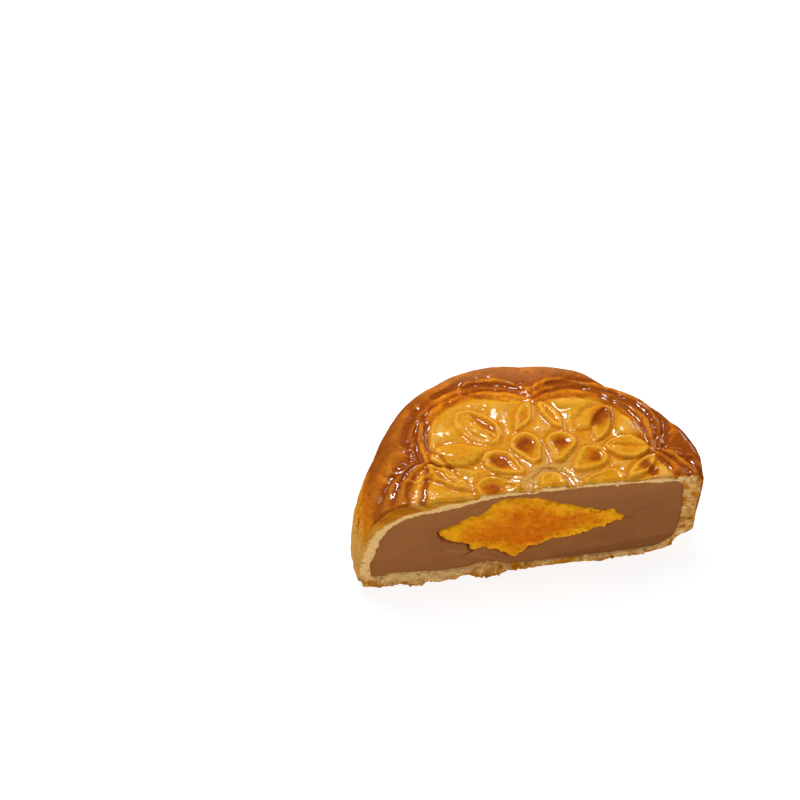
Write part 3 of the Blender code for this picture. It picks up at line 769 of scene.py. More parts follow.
def outside_tree():
    """The whole outside of the half by rule: plan, flutes, domed top, shoulder, side, base and ornament."""
    tree, given, result = new_tree("mooncake outside", [
        ("Half Length", "NodeSocketFloat", HALF_LENGTH), ("Depth", "NodeSocketFloat", DEPTH),
        ("Height", "NodeSocketFloat", HEIGHT), ("Flute Top", "NodeSocketFloat", FLUTE_TOP),
        ("Flute Base", "NodeSocketFloat", FLUTE_BASE), ("Ornament", "NodeSocketFloat", LAYOUT),
        ("Relief", "NodeSocketFloat", 1.0), ("Cut", "NodeSocketFloat", CUT_Y),
        ("Seed", "NodeSocketFloat", CRUST_SEED), ("Material", "NodeSocketMaterial", None),
    ], [("Geometry", "NodeSocketGeometry")])
    total = sum(OUTSIDE_ROWS)
    grid = add_node(tree, "GeometryNodeMeshGrid", {
        "Size X": 1.0, "Size Y": 1.0, "Vertices X": OUTSIDE_COLUMNS, "Vertices Y": total + 1})
    across, down, _ = parts_of(tree, tree.nodes.new("GeometryNodeInputPosition").outputs[0])
    turn = (0.5 - across) * 180.0
    row = (down + 0.5) * total
    steps = []
    start = 0
    for count in OUTSIDE_ROWS:
        steps.append(clamped((row - start) / count))
        start += count
    on_top, on_shoulder, on_side, on_edge, on_base = steps

    sideways = cosine(turn)
    backways = sine(turn)
    oval = ((abs(sideways) / given["Half Length"]) ** BLUNTNESS
            + (backways / given["Depth"]) ** BLUNTNESS) ** (-1.0 / BLUNTNESS)
    lobe_x = oval * sideways - ORNAMENT_X
    lobe_y = oval * backways - ORNAMENT_BEHIND_CUT
    lobe = lobe_y.math("ARCTAN2", lobe_x) * DEGREES - (ORNAMENT_TURN + 1.0)
    flute = 1.0 - abs(sine(lobe * (FLUTES / 2))) ** FLUTE_ROUNDNESS
    reach = oval - flute * given["Flute Top"]
    foot = oval - flute * given["Flute Base"]
    wide = side_choice(sideways, SHOULDER_RIGHT[0], SHOULDER_BACK[0], SHOULDER_LEFT[0])
    drop = side_choice(sideways, SHOULDER_RIGHT[1], SHOULDER_BACK[1], SHOULDER_LEFT[1])
    edge = ramp(0.86, 1.0, sideways) * (BROKEN_EDGE - BASE_EDGE) + BASE_EDGE

    round_out = sine(on_shoulder * 90.0) ** (2 / SHOULDER_POWER)
    round_down = 1.0 - cosine(on_shoulder * 90.0) ** (2 / SHOULDER_POWER)
    top_radius = (reach - wide) * on_top + wide * round_out
    x = top_radius * sideways
    behind = top_radius * backways
    from_middle = x - TOP_MIDDLE_X
    crown = (given["Height"] - from_middle * from_middle * FALL_SIDEWAYS
             - behind * FALL_BACK - behind * behind * FALL_BACK_CURVE)
    over = high_of(crown - drop * round_down, edge)
    z = over + (edge - over) * on_side - edge * sine(on_edge * 90.0)
    radius = (top_radius + (foot - reach) * ramp(0.0, 1.0, on_side)
              - edge * (1.0 - cosine(on_edge * 90.0)) - (foot - edge) * on_base)
    plain = vector_of(tree, radius * sideways, radius * backways + given["Cut"], z)

    kept = ornament(tree, x, behind, given["Ornament"])
    kept["relief"] = kept["relief"] * given["Relief"]
    for name in ("field", "wet", "ground"):
        kept[name] = kept[name] * (1.0 - on_side)
    kept["down_side"] = on_side
    kept["crease"] = flute ** 1.7
    geometry = grid.outputs[0]
    for name, value in kept.items():
        geometry = store(tree, geometry, name, value)
    push = outside_push(tree, given["Cut"], given["Seed"])
    for kind, label, value in (("GeometryNodeSetPosition", "Position", plain),
                               ("GeometryNodeMergeByDistance", "Distance", 0.002),
                               ("GeometryNodeSetPosition", "Offset", push)):
        geometry = add_node(tree, kind, {"Geometry": geometry, label: value}).outputs[0]
    finish_tree(tree, geometry, given["Material"], result)
    return tree


def outside_push(tree, cut, seed):
    """How far each point of the plain outside moves along its normal: ornament, lumps and a soft edge."""
    place = tree.nodes.new("GeometryNodeInputPosition").outputs[0]
    normal = tree.nodes.new("GeometryNodeInputNormal").outputs[0]
    normal_x, normal_y, normal_z = parts_of(tree, normal)
    place_x, place_y, _ = parts_of(tree, place)
    off_cut = place_y - cut
    fade = ramp(0.1, 0.55, normal_z)
    lumps = noise_value(tree, place, 11.0, seed, 2.0) * 0.38
    lumps = lumps + noise_value(tree, place, 3.0, seed + 5.0, 4.0, 0.6) * 0.28
    on_skin = ramp(-0.9, -0.2, normal_z)
    soft_edge = ridge(off_cut, 0.9) * 0.35
    near_left = ramp(-17.0, -25.0, place_x)
    fade = fade * (1.0 - near_left * ramp(9.0, 1.0, off_cut) * 0.75)
    uneven = noise_value(tree, place, 5.0, seed + 9.0, 2.0) * 0.4 + 1.0
    push = recall(tree, "relief") * fade * uneven + (lumps - soft_edge) * on_skin
    free = is_over(off_cut, 0.01)
    return vector_of(tree, normal_x * push, normal_y * push * free, normal_z * push)


def smooth_line(corners, steps):
    """Points on a smooth line through the given corners, without the last one."""
    corners = np.array(corners)
    padded = np.vstack([2 * corners[0] - corners[1], corners, 2 * corners[-1] - corners[-2]])
    line = []
    for i in range(1, len(padded) - 2):
        before, start, end, after = padded[i - 1:i + 3]
        bend = 2 * before - 5 * start + 4 * end - after
        swing = 3 * start - before - 3 * end + after
        for step in range(steps):
            t = step / steps
            line.append(0.5 * (2 * start + (end - before) * t + bend * t ** 2 + swing * t ** 3))
    return np.array(line)


def evenly(corners, count):
    """The given number of points spaced evenly along a smooth line, without the last one."""
    line = np.vstack([smooth_line(corners, 12), corners[-1]])
    run = np.concatenate([[0.0], np.cumsum(np.linalg.norm(np.diff(line, axis=0), axis=1))])
    wanted = np.linspace(0.0, run[-1], count, endpoint=False)
    return np.stack([np.interp(wanted, run, line[:, 0]), np.interp(wanted, run, line[:, 1])], axis=-1)


def noise_at(points, size, seed):
    """Soft noise from -1 to 1 at each point."""
    shift = Vector((seed * 17.3, seed * 5.1, seed * 9.7))
    return np.array([noise.noise(Vector(point) / size + shift) for point in points])


def mesh_of(name, points, faces, attributes, material):
    """A smooth mesh object, from points in millimetres, with numbers kept on its points."""
    mesh = bpy.data.meshes.new(name)
    mesh.from_pydata((np.asarray(points) * MM).tolist(), [], faces)
    for label, values in attributes.items():
        kept = mesh.attributes.new(label, "FLOAT", "POINT")
        kept.data.foreach_set("value", np.asarray(values, dtype=np.float32))
    mesh.materials.append(material)
    mesh.shade_smooth()
    thing = bpy.data.objects.new(name, mesh)
    bpy.context.scene.collection.objects.link(thing)
    return thing


def ring_faces(start, next_start, count):
    """Faces between two closed rings of points."""
    faces = []
    for i in range(count):
        j = (i + 1) % count
        faces.append([start + i, start + j, next_start + j, next_start + i])
    return faces


def open_loop(mesh):
    """Numbers of the points along a mesh's open edge, in order."""
    shape = bmesh.new()
    shape.from_mesh(mesh)
    edge = next(e for e in shape.edges if e.is_boundary)
    first = edge.verts[0]
    loop = [first.index]
    here = edge.other_vert(first)
    while here is not first:
        loop.append(here.index)
        edge = next(e for e in here.link_edges if e.is_boundary and e is not edge)
        here = edge.other_vert(here)
    shape.free()
    return loop


def refine_open_edge(mesh, step):
    """Split the long edges of a mesh's open edge, so that the cut can be ragged there."""
    shape = bmesh.new()
    shape.from_mesh(mesh)
    wanted = {}
    for edge in shape.edges:
        if edge.is_boundary:
            wanted.setdefault(math.ceil(edge.calc_length() / step) - 1, []).append(edge)
    for cuts, edges in wanted.items():
        if cuts > 0:
            bmesh.ops.subdivide_edges(shape, edges=[edge for edge in edges if edge.is_valid], cuts=cuts)
    shape.to_mesh(mesh)
    shape.free()


def smoothed(points, edges, rounds):
    """Each point drawn towards the middle of its neighbours, so many times over."""
    count = len(points)
    start = np.concatenate([edges[:, 0], edges[:, 1]])
    end = np.concatenate([edges[:, 1], edges[:, 0]])
    neighbours = np.bincount(start, minlength=count)[:, None]
    for _ in range(rounds):
        total = [np.bincount(start, weights=points[end, axis], minlength=count) for axis in range(3)]
        points = 0.5 * points + 0.5 * np.stack(total, axis=-1) / np.maximum(neighbours, 1)
    return points


def radius_round(outline, middle, angles):
    """Distance from the middle to a closed outline at each angle."""
    away = outline - np.array(middle)
    own = np.arctan2(away[:, 1], away[:, 0])
    order = np.argsort(own)
    return np.interp(angles, own[order], np.linalg.norm(away, axis=1)[order], period=2 * math.pi)


def read_values(mesh, name):
    """The numbers kept on a mesh's points under a name."""
    values = np.zeros(len(mesh.vertices), dtype=np.float32)
    mesh.attributes[name].data.foreach_get("value", values)
    return values


def step_to(low, high, x):
    """Smooth step from 0 at low to 1 at high, for arrays."""
    t = np.clip((x - low) / (high - low), 0.0, 1.0)
    return t * t * (3.0 - 2.0 * t)


def standing(section, y):
    """Points of the section, given as x and height, stood up at one distance."""
    return np.stack([section[:, 0], np.full(len(section), y), section[:, 1]], axis=-1)


def filling_outline(top, bottom, count):
    """A filling's outline in the cut, from its left over the top and back."""
    half = count // 2
    return np.vstack([evenly(top, half), evenly(bottom, count - half)])


def behind_room(outline, depth, back):
    """An outline in the cut carried back into the cake: narrower in plan, lower under the falling top."""
    part = min(depth / back, 1.0)
    narrow = (1.0 - part ** BLUNTNESS) ** (1.0 / BLUNTNESS)
    low = (1.0 - part ** 4) ** 0.25
    middle = SECTION_MIDDLE[1]
    upper = np.maximum(outline[:, 1] - middle, 0.0) / middle
    fall = (FALL_BACK * depth + FALL_BACK_CURVE * depth ** 2 + 0.7 * min(depth / 6.0, 1.0)) * upper
    height = middle + (outline[:, 1] - middle) * low - fall
    return standing(np.stack([outline[:, 0] * narrow, height], axis=-1), CUT_Y + depth)


def distance_to_line(x, y, places):
    """Distance in plan from each point to a line through the given places."""
    nearest = np.hypot(x - places[0][0], y - places[0][1])
    for (x0, y0), (x1, y1) in zip(places, places[1:]):
        length = (x1 - x0) ** 2 + (y1 - y0) ** 2
        along = np.clip(((x - x0) * (x1 - x0) + (y - y0) * (y1 - y0)) / length, 0.0, 1.0)
        nearest = np.minimum(nearest, np.hypot(x - x0 - along * (x1 - x0), y - y0 - along * (y1 - y0)))
    return nearest


def press_marks(points, normals, chosen, sideways, marks, faded):
    """Press creases and folds into the chosen points. Returns how much browner each point is for them."""
    near = points[chosen]
    wander = np.stack([noise_at(near, 2.3, 41), noise_at(near, 2.3, 42)], axis=-1) * 0.5
    push = np.zeros(len(chosen))
    browner = np.zeros(len(points))
    for places, reach, height, extra in marks:
        far = distance_to_line(sideways[0] + wander[:, 0], sideways[1] + wander[:, 1], places) / reach
        shape = np.clip(1.0 - far ** 2, 0.0, 1.0) ** 2
        push += shape * height
        browner[chosen] += shape * extra * faded
    moved = normals[chosen] * (push * faded)[:, None]
    moved[near[:, 1] < CUT_Y + 0.01, 1] = 0.0
    points[chosen] += moved
    return browner


def add_marks(points, normals):
    """The single creases and folds of the top and of the left end."""
    on_top = np.flatnonzero(normals[:, 2] > 0.15)
    top = points[on_top]
    browner = press_marks(points, normals, on_top, (top[:, 0], top[:, 1] - CUT_Y), TOP_MARKS,
                          step_to(0.15, 0.5, normals[on_top, 2]))
    on_end = np.flatnonzero((normals[:, 0] < -0.3) & (points[:, 1] < CUT_Y + 16.0))
    end = points[on_end]
    return browner + press_marks(points, normals, on_end, (end[:, 1] - CUT_Y, end[:, 2]), SIDE_MARKS,
                                 step_to(-0.3, -0.6, normals[on_end, 0]))


def break_corner(points):
    """Take the broken corner off the outside. Returns how broken each point is."""
    away = points[:, (0, 2)] - np.array(SECTION_MIDDLE)
    angle = np.arctan2(away[:, 1], away[:, 0])
    reach = np.linalg.norm(away, axis=1)
    corner = np.array(BROKEN_CORNER) - np.array(SECTION_MIDDLE)
    corner_angle = np.arctan2(corner[:, 1], corner[:, 0])
    depth = (points[:, 1] - CUT_Y) / BROKEN_BACK
    near = (angle > corner_angle[0]) & (angle < corner_angle[-1]) & (depth < 1.6)
    limit = np.interp(angle, corner_angle, np.linalg.norm(corner, axis=1))
    rough = np.zeros(len(points))
    rough[near] = noise_at(points[near], 1.7, 43) * 0.5 + noise_at(points[near], 0.7, 44) * 0.3
    limit += 5.0 * np.clip(depth, 0.0, None) ** 2 - rough * 0.7
    taken = np.where(near, np.clip(reach - limit, 0.0, None), 0.0)
    scale = np.where(reach > 0, (reach - taken) / np.maximum(reach, 1e-6), 1.0)
    points[:, 0] = SECTION_MIDDLE[0] + away[:, 0] * scale
    points[:, 2] = np.maximum(SECTION_MIDDLE[1] + away[:, 1] * scale, 0.0)
    return step_to(0.05, 0.5, taken)


def bare_outside(sizes, material):
    """The outside worked out by its tree, with short edges along the cut."""
    outside = run_tree(outside_tree(), {
        "Half Length": sizes.half_length / MM, "Depth": sizes.depth / MM, "Height": sizes.height / MM,
        "Flute Top": sizes.flute_top / MM, "Flute Base": sizes.flute_base / MM,
        "Ornament": sizes.ornament / MM, "Relief": sizes.relief, "Cut": CUT_Y, "Seed": CRUST_SEED,
        "Material": material,
    }, "outside")
    refine_open_edge(outside, CUT_EDGE_STEP)
    return outside


def hollowness(mesh, points, normals, loop):
    """How deep each point lies among its neighbours, below 0 where it stands out."""
    edges = np.zeros(len(mesh.edges) * 2, dtype=np.int32)
    mesh.edges.foreach_get("vertices", edges)
    hollow = np.sum((smoothed(points, edges.reshape(-1, 2), 24) - points) * normals, axis=1)
    hollow[loop] = 0.0
    return np.clip(hollow * 2.2, -1.0, 1.0) * step_to(0.1, 1.2, points[:, 1] - CUT_Y)


def inner_edge(turning):
    """The crust's ragged inner edge in the cut at each angle round the section, and how calm it is there."""
    reach = radius_round(filling_outline(PASTE_TOP, PASTE_BOTTOM, 600), SECTION_MIDDLE, turning)
    around = np.stack([np.cos(turning), np.sin(turning)], axis=-1)
    inner = standing(np.array(SECTION_MIDDLE) + reach[:, None] * around, CUT_Y)
    low = step_to(6.0, 3.0, inner[:, 2])
    calm = low * step_to(-3.0, 7.0, inner[:, 0])
    ragged = noise_at(inner, 1.8, 1) * (0.4 + 0.7 * low) + noise_at(inner, 0.6, 2) * (0.3 + 0.3 * low)
    outward = inner - np.array([SECTION_MIDDLE[0], CUT_Y, SECTION_MIDDLE[1]])
    outward /= np.linalg.norm(outward, axis=1, keepdims=True)
    return inner - outward * (ragged * (1.0 - 0.75 * calm) + 0.1 - 0.15 * calm)[:, None], calm


def crumbliness(section):
    """How loose the crust is round the cut, and how much it belongs to the base and to the right wall."""
    x = section[:, 0]
    z = section[:, 2]
    base = step_to(6.5, 3.5, z)
    right = step_to(31.0, 35.0, x) * (1.0 - base)
    left = step_to(-30.0, -35.0, x) * (1.0 - base)
    return 0.3 + 0.7 * base + 0.35 * right + 0.15 * left, base, right


def cut_rings(rim, inner, calm):
    """Rings of points from the rim over the crumbly cut to the paste, and on round the room for the paste."""
    loose, base, _ = crumbliness(inner)
    forward = np.interp(inner[:, 0], *np.array(BASE_LUMPS).T) * base * (1.0 - 0.35 * calm)
    loose = loose * (1.0 - 0.55 * calm)
    rings = []
    for row in range(1, STRIP_ROWS + 1):
        part = row / STRIP_ROWS
        ring = rim + (inner - rim) * part
        edge_round = 0.4 * (1.0 - part) ** 4
        bulge = math.sin(part ** 0.7 * math.pi) * (0.15 + 0.35 * loose)
        bulge = bulge + forward * math.sin(part ** 0.5 * math.pi)
        rough = noise_at(ring, 2.4, 3) * 0.6 + noise_at(ring, 1.0, 4) * 0.45 + noise_at(ring, 0.45, 5) * 0.25
        ring[:, 1] -= (bulge + rough * loose) * min(1.0, 4.0 * part * (1.25 - part)) - edge_round
        rings.append(ring)
    return rings + [behind_room(inner[:, (0, 2)], depth, ROOM_BACK) for depth in ROOM_DEPTHS]


def strip_values(inner, rings):
    """How bare of glaze and how toasted each point of the cut crust is, row by row."""
    _, base, right = crumbliness(inner)
    x = inner[:, 0]
    glazed = np.interp(x, *np.array(GLAZED_SHARE).T)
    browned = 0.18 + 0.45 * step_to(-16.0, -4.0, x) - 0.2 * step_to(8.0, 20.0, x)
    bare = []
    toast = []
    for row in range(STRIP_ROWS):
        part = (row + 1) / STRIP_ROWS
        unglazed = part - glazed + noise_at(rings[row], 0.9, 6) * 0.12
        bare.append(np.maximum(step_to(-0.06, 0.06, unglazed), base))
        dark = browned + (1.0 - browned) * (1.0 - part) ** 1.5
        toast.append(np.clip(0.55 * right + base * dark, 0.0, 1.0))
    return np.concatenate(bare), np.concatenate(toast)


def faces_inwards(loop, count, rings, size):
    """Faces from the outside's open edge over the rings of the cut to the point behind the paste."""
    turned = [[loop[i], count + i, count + (i + 1) % size, loop[(i + 1) % size]] for i in range(size)]
    last = count + (rings - 1) * size
    for start in range(count, last, size):
        turned += [face[::-1] for face in ring_faces(start, start + size, size)]
    return turned + [[last + (i + 1) % size, last + i, last + size] for i in range(size)]


def build_crust(sizes, material):
    """The crust as one closed shell: outside by rule, crumbly cut edge, hidden inside."""
    outside = bare_outside(sizes, material)
    count = len(outside.vertices)
    points = np.zeros(count * 3)
    outside.vertices.foreach_get("co", points)
    points = points.reshape(-1, 3)
    faces = [list(face.vertices) for face in outside.polygons]
    normals = np.array([vertex.normal for vertex in outside.vertices])
    browner = add_marks(points, normals)
    loop = open_loop(outside)
    kept = {name: read_values(outside, name) for name in ("wet", "ground", "outside", "down_side", "crease")}
    kept["hollow"] = hollowness(outside, points, normals, loop)
    foot = step_to(1.8, 0.2, points[:, 2]) * 0.25
    kept["ornament_bake"] = read_values(outside, "ornament_bake") + browner + foot
    kept["field"] = read_values(outside, "field") * (1.0 - np.clip(browner * 2.6, -0.3, 0.9))
    broken = break_corner(points)
    rim = points[loop]
    turning = np.arctan2(rim[:, 2] - SECTION_MIDDLE[1], rim[:, 0] - SECTION_MIDDLE[0])
    if np.sum(np.sin(np.diff(turning))) < 0:
        loop = loop[::-1]
        rim = rim[::-1]
        turning = turning[::-1]

    inner, calm = inner_edge(turning)
    rings = cut_rings(rim, inner, calm)
    tip = [SECTION_MIDDLE[0], CUT_Y + ROOM_BACK, SECTION_MIDDLE[1]]
    all_points = np.vstack([points, *rings, [tip]])
    turned = faces_inwards(loop, count, len(rings), len(loop))
    if not faces_out(faces, turned):
        turned = [face[::-1] for face in turned]

    bare, toasted = strip_values(inner, rings)
    hidden = len(all_points) - count - len(bare)
    lost = broken.copy()
    lost[loop] = np.maximum(broken[loop], 0.12)
    attributes = {"crumb": np.concatenate([lost, bare, np.ones(hidden)]),
                  "toast": np.concatenate([broken * 0.6, toasted, np.zeros(hidden)])}
    for name, values in kept.items():
        at_rim = values[loop]
        if name == "ornament_bake":
            at_rim = at_rim - EDGE_PALER
        if name == "field":
            at_rim = np.maximum(at_rim, EDGE_YELLOW)
        attributes[name] = np.concatenate([values, np.tile(at_rim, len(rings)), at_rim[:1]])
    return mesh_of("baked_crust", all_points, faces + turned, attributes, material)


def faces_out(faces, extra):
    """True if the extra faces turn the same way as the first ones where they meet."""
    edges = set()
    for face in faces:
        edges.update(zip(face, face[1:] + face[:1]))
    return not any(pair in edges for face in extra[:50] for pair in zip(face, face[1:] + face[:1]))


def yolk_edge():
    """The yolk's ragged outline, shared by the yolk and by the hollow it lies in."""
    outline = filling_outline(YOLK_TOP, YOLK_BOTTOM, FILLING_COLUMNS)
    flat = standing(outline, 0.0)
    wander = noise_at(flat, 3.4, 11) * 0.8 + noise_at(flat, 1.2, 12) * 0.42 + noise_at(flat, 0.5, 14) * 0.12
    ahead = np.roll(outline, -1, axis=0) - np.roll(outline, 1, axis=0)
    normal = np.stack([-ahead[:, 1], ahead[:, 0]], axis=-1)
    normal /= np.linalg.norm(normal, axis=-1, keepdims=True)
    return outline + normal * wander[:, None]


def yolk_hollow(edge):
    """The hollow's outline, wider than the yolk at its tips, and how wide the gap is at each point."""
    left_tip = step_to(-15.5, -19.5, edge[:, 0])
    under_left = step_to(-10.0, -13.0, edge[:, 0]) * step_to(14.0, 12.8, edge[:, 1])
    right_tip = step_to(18.5, 20.8, edge[:, 0]) * step_to(14.2, 13.2, edge[:, 1])
    gap = np.clip(left_tip * 0.7 + under_left * 0.7 + right_tip * 0.8, 0.0, 1.0)
    gap = sum(np.roll(gap, shift) for shift in range(-GAP_BLUR, GAP_BLUR + 1)) / (2 * GAP_BLUR + 1)
    away = edge - np.array(YOLK_MIDDLE)
    away /= np.linalg.norm(away, axis=1, keepdims=True)
    return edge + away * gap[:, None] * np.array([0.9, 1.3]), gap


def closed_piece(name, rings, start, end, attributes, material):
    """A closed piece over rings of points, with a point at each end."""
    size = len(rings[0])
    points = np.vstack([*rings, [start], [end]])
    faces = []
    for i in range(len(rings) - 1):
        faces += ring_faces(i * size, (i + 1) * size, size)
    last = (len(rings) - 1) * size
    faces += [[(i + 1) % size, i, len(points) - 2] for i in range(size)]
    faces += [[last + i, last + (i + 1) % size, len(points) - 1] for i in range(size)]
    return facing_out(mesh_of(name, points, faces, attributes, material))


def build_paste(sizes, material):
    """The paste as one closed piece: cut face, outer side behind the crust and the hollow for the yolk."""
    middle = np.array(SECTION_MIDDLE)
    outer = middle + (filling_outline(PASTE_TOP, PASTE_BOTTOM, FILLING_COLUMNS) - middle) * PASTE_OVERLAP
    hollow, gap = yolk_hollow(yolk_edge())
    rings = [behind_room(outer, depth, PASTE_BACK) for depth in reversed(ROOM_DEPTHS)]
    for row in range(PASTE_ROWS + 1):
        part = row / PASTE_ROWS
        part = part + 0.35 * part * (1 - part)
        ring = standing(outer + (hollow - outer) * part, CUT_Y)
        stretched = ring * np.array([0.35, 1.0, 1.0])
        level = noise_at(stretched, 7.0, 21) * 0.3 + noise_at(stretched, 1.6, 22) * 0.1
        level = level + noise_at(ring, 0.8, 23) * 0.03
        near = step_to(0.8, 1.0, part)
        sunk = near * (0.15 + 0.5 * gap)
        at_wall = 0.35 * (1.0 - min(part * 14, 1.0))
        ring[:, 1] += 0.3 + level + sunk + at_wall
        rings.append(ring)
    yolk_middle = np.array(YOLK_MIDDLE)
    depth = sizes.yolk_depth / MM
    floor = CUT_Y + YOLK_ROOM
    for turn in np.linspace(0.08, 0.95, 9):
        section = yolk_middle + (hollow - yolk_middle) * math.cos(turn * math.pi / 2)
        rings.append(standing(section, floor + depth * math.sin(turn * math.pi / 2)))
    start = [SECTION_MIDDLE[0], CUT_Y + PASTE_BACK, SECTION_MIDDLE[1]]
    end = [YOLK_MIDDLE[0], floor + depth, YOLK_MIDDLE[1]]
    return closed_piece("lotus_seed_paste", rings, start, end, {}, material)


def build_yolk(sizes, material):
    """The yolk as one closed lump: grainy cut face and a plain hidden back."""
    edge = yolk_edge()
    middle = np.array(YOLK_MIDDLE)
    depth = sizes.yolk_depth / MM
    hidden = CUT_Y + YOLK_SETBACK
    rings = []
    for turn in np.linspace(0.95, 0.12, HIDDEN_YOLK_ROWS):
        section = middle + (edge - middle) * math.cos(turn * math.pi / 2) * 0.985
        rings.append(standing(section, hidden + depth * math.sin(turn * math.pi / 2)))
    near_rim = [np.ones(HIDDEN_YOLK_ROWS * FILLING_COLUMNS)]
    for row in range(YOLK_ROWS):
        part = 1.0 - row / YOLK_ROWS
        ring = standing(middle + (edge - middle) * part, CUT_Y)
        rough = noise_at(ring, 4.5, 31) * 0.9 + noise_at(ring, 1.9, 32) * 0.8 + noise_at(ring, 0.8, 33) * 0.55
        ring[:, 1] += 0.1 + 1.1 * part ** 24 - rough * (0.6 + 0.4 * part)
        rings.append(ring)
        near_rim.append(np.full(FILLING_COLUMNS, part))
    start = [YOLK_MIDDLE[0], hidden + depth, YOLK_MIDDLE[1]]
    end = [YOLK_MIDDLE[0], CUT_Y, YOLK_MIDDLE[1]]
    values = {"near_rim": np.concatenate([*near_rim, [1.0, 0.0]])}
    return closed_piece("salted_yolk", rings, start, end, values, material)


def facing_out(thing):
    """Turn a closed mesh's faces outwards."""
    shape = bmesh.new()
    shape.from_mesh(thing.data)
    bmesh.ops.recalc_face_normals(shape, faces=shape.faces)
    shape.to_mesh(thing.data)
    shape.free()
    return thing


def enabled_socket(sockets, name):
    """The socket in use among those that share a name."""
    return next(item for item in sockets if item.name == name and item.enabled)


def crumb_density(tree, given):
    """Crumbs for each square metre of the open crumb, fewer on the calm right half of the base."""
    normal_y = parts_of(tree, tree.nodes.new("GeometryNodeInputNormal").outputs[0])[1]
    place = tree.nodes.new("GeometryNodeInputPosition").outputs[0]
    along, depth, level = parts_of(tree, place)
    calm = ramp(-1.0 * MM, 7.0 * MM, along) * ramp(5.0 * MM, 3.0 * MM, level)
    open_face = is_under(depth, (CUT_Y + 1.2) * MM) * is_under(normal_y, -0.2)
    open_face = open_face * is_over(recall(tree, "crumb"), 0.5)
    patchy = clamped(noise_value(tree, place, 2.5 * MM, 3.0, 1.0) * 1.5 + 0.6)
    share = open_face * (1.0 - calm * 0.75) * patchy * (0.35 + recall(tree, "toast"))
    return share * given["Count"] / (CRUMB_FACE_AREA * MM * MM)


def crumb_tree():
    """Loose crumbs of the cut crust: more of them at the base and on the toasted right wall."""
    tree, given, result = new_tree("loose crumbs", [
        ("Geometry", "NodeSocketGeometry", None), ("Count", "NodeSocketFloat", float(CRUMBS)),
        ("Smallest", "NodeSocketFloat", SMALLEST_CRUMB), ("Largest", "NodeSocketFloat", LARGEST_CRUMB),
        ("Seed", "NodeSocketInt", CRUMB_SEED), ("Material", "NodeSocketMaterial", None),
    ], [("Geometry", "NodeSocketGeometry")])
    scatter = add_node(tree, "GeometryNodeDistributePointsOnFaces", {
        "Mesh": given["Geometry"], "Seed": given["Seed"]})
    feed(enabled_socket(scatter.inputs, "Density"), crumb_density(tree, given))
    chance = add_node(tree, "FunctionNodeRandomValue", data_type="FLOAT_VECTOR")
    enabled_socket(chance.inputs, "Min").default_value = (0.0, 0.0, 0.0)
    enabled_socket(chance.inputs, "Max").default_value = (1.0, 1.0, 1.0)
    turn_x, turn_y, size = parts_of(tree, enabled_socket(chance.outputs, "Value"))
    turn = vector_of(tree, turn_x * 6.28, turn_y * 6.28, size * 6.28)
    width = given["Smallest"] + size * size * (given["Largest"] - given["Smallest"])
    scale = vector_of(tree, width, width * (turn_x * 0.5 + 0.7), width * (turn_y * 0.5 + 0.6))
    crumb = add_node(tree, "GeometryNodeMeshIcoSphere", {"Radius": MM, "Subdivisions": 2}).outputs[0]
    here = tree.nodes.new("GeometryNodeInputPosition").outputs[0]
    rough = noise_value(tree, here, 0.9 * MM, 5.0, 2.0) * 0.5
    way = add_node(tree, "ShaderNodeVectorMath", {0: here, "Scale": rough}, operation="SCALE").outputs[0]
    crumb = add_node(tree, "GeometryNodeSetPosition", {"Geometry": crumb, "Offset": way}).outputs[0]
    placed = add_node(tree, "GeometryNodeInstanceOnPoints", {
        "Points": scatter.outputs["Points"], "Instance": crumb, "Rotation": turn, "Scale": scale}).outputs[0]
    finish_tree(tree, placed, given["Material"], result)
    return tree


def build_crumbs(crust, count, material):
    """Loose crumbs along the cut of the finished crust."""
    mesh = run_tree(crumb_tree(), {
        "Count": float(count), "Smallest": SMALLEST_CRUMB, "Largest": LARGEST_CRUMB, "Seed": CRUMB_SEED,
        "Material": material,
    }, "crust_crumbs", crust.data.copy())
    mesh.shade_smooth()
    thing = bpy.data.objects.new("crust_crumbs", mesh)
    bpy.context.scene.collection.objects.link(thing)
    return thing


def material_tree(name):
    """A new material. Returns it, its tree and its shader."""
    material = bpy.data.materials.new(name)
    material.use_nodes = True
    tree = material.node_tree
    return material, tree, tree.nodes["Principled BSDF"]


def grain_group():
    """The unevenness that crust, paste and yolk share: noise at four sizes, as a shader group."""
    group = bpy.data.node_groups.get("food_grain")
    if group:
        return group
    group = bpy.data.node_groups.new("food_grain", "ShaderNodeTree")
    group.interface.new_socket("Place", in_out="INPUT", socket_type="NodeSocketVector")
    for label, start in (("Size", 1.0), ("Seed", 0.0), ("Roughness", 0.6)):
        item = group.interface.new_socket(label, in_out="INPUT", socket_type="NodeSocketFloat")
        item.default_value = start
    for label, _ in GRAINS:
        group.interface.new_socket(label, in_out="OUTPUT", socket_type="NodeSocketFloat")
    source = group.nodes.new("NodeGroupInput")
    result = group.nodes.new("NodeGroupOutput")
    for number, (label, size) in enumerate(GRAINS):
        scale = 1.0 / (Value(source.outputs["Size"]) * size)
        seed = Value(source.outputs["Seed"]) + number * 3.7
        node = add_node(group, "ShaderNodeTexNoise", {
            "Vector": source.outputs["Place"], "W": seed, "Scale": scale, "Detail": 3.0,
            "Roughness": source.outputs["Roughness"]}, noise_dimensions="4D")
        feed(result.inputs[label], (Value(node.outputs[0]) - 0.5) * 2.0)
    return group


def grain_of(tree, place, size, seed, rough=0.6):
    """Place the shared grain in a material. Returns its patches, mottle, specks and pores, from -1 to 1."""
    node = add_node(tree, "ShaderNodeGroup", node_tree=grain_group())
    for label, item in (("Place", place), ("Size", size), ("Seed", seed), ("Roughness", rough)):
        feed(node.inputs[label], item)
    return [Value(node.outputs[label]) for label, _ in GRAINS]


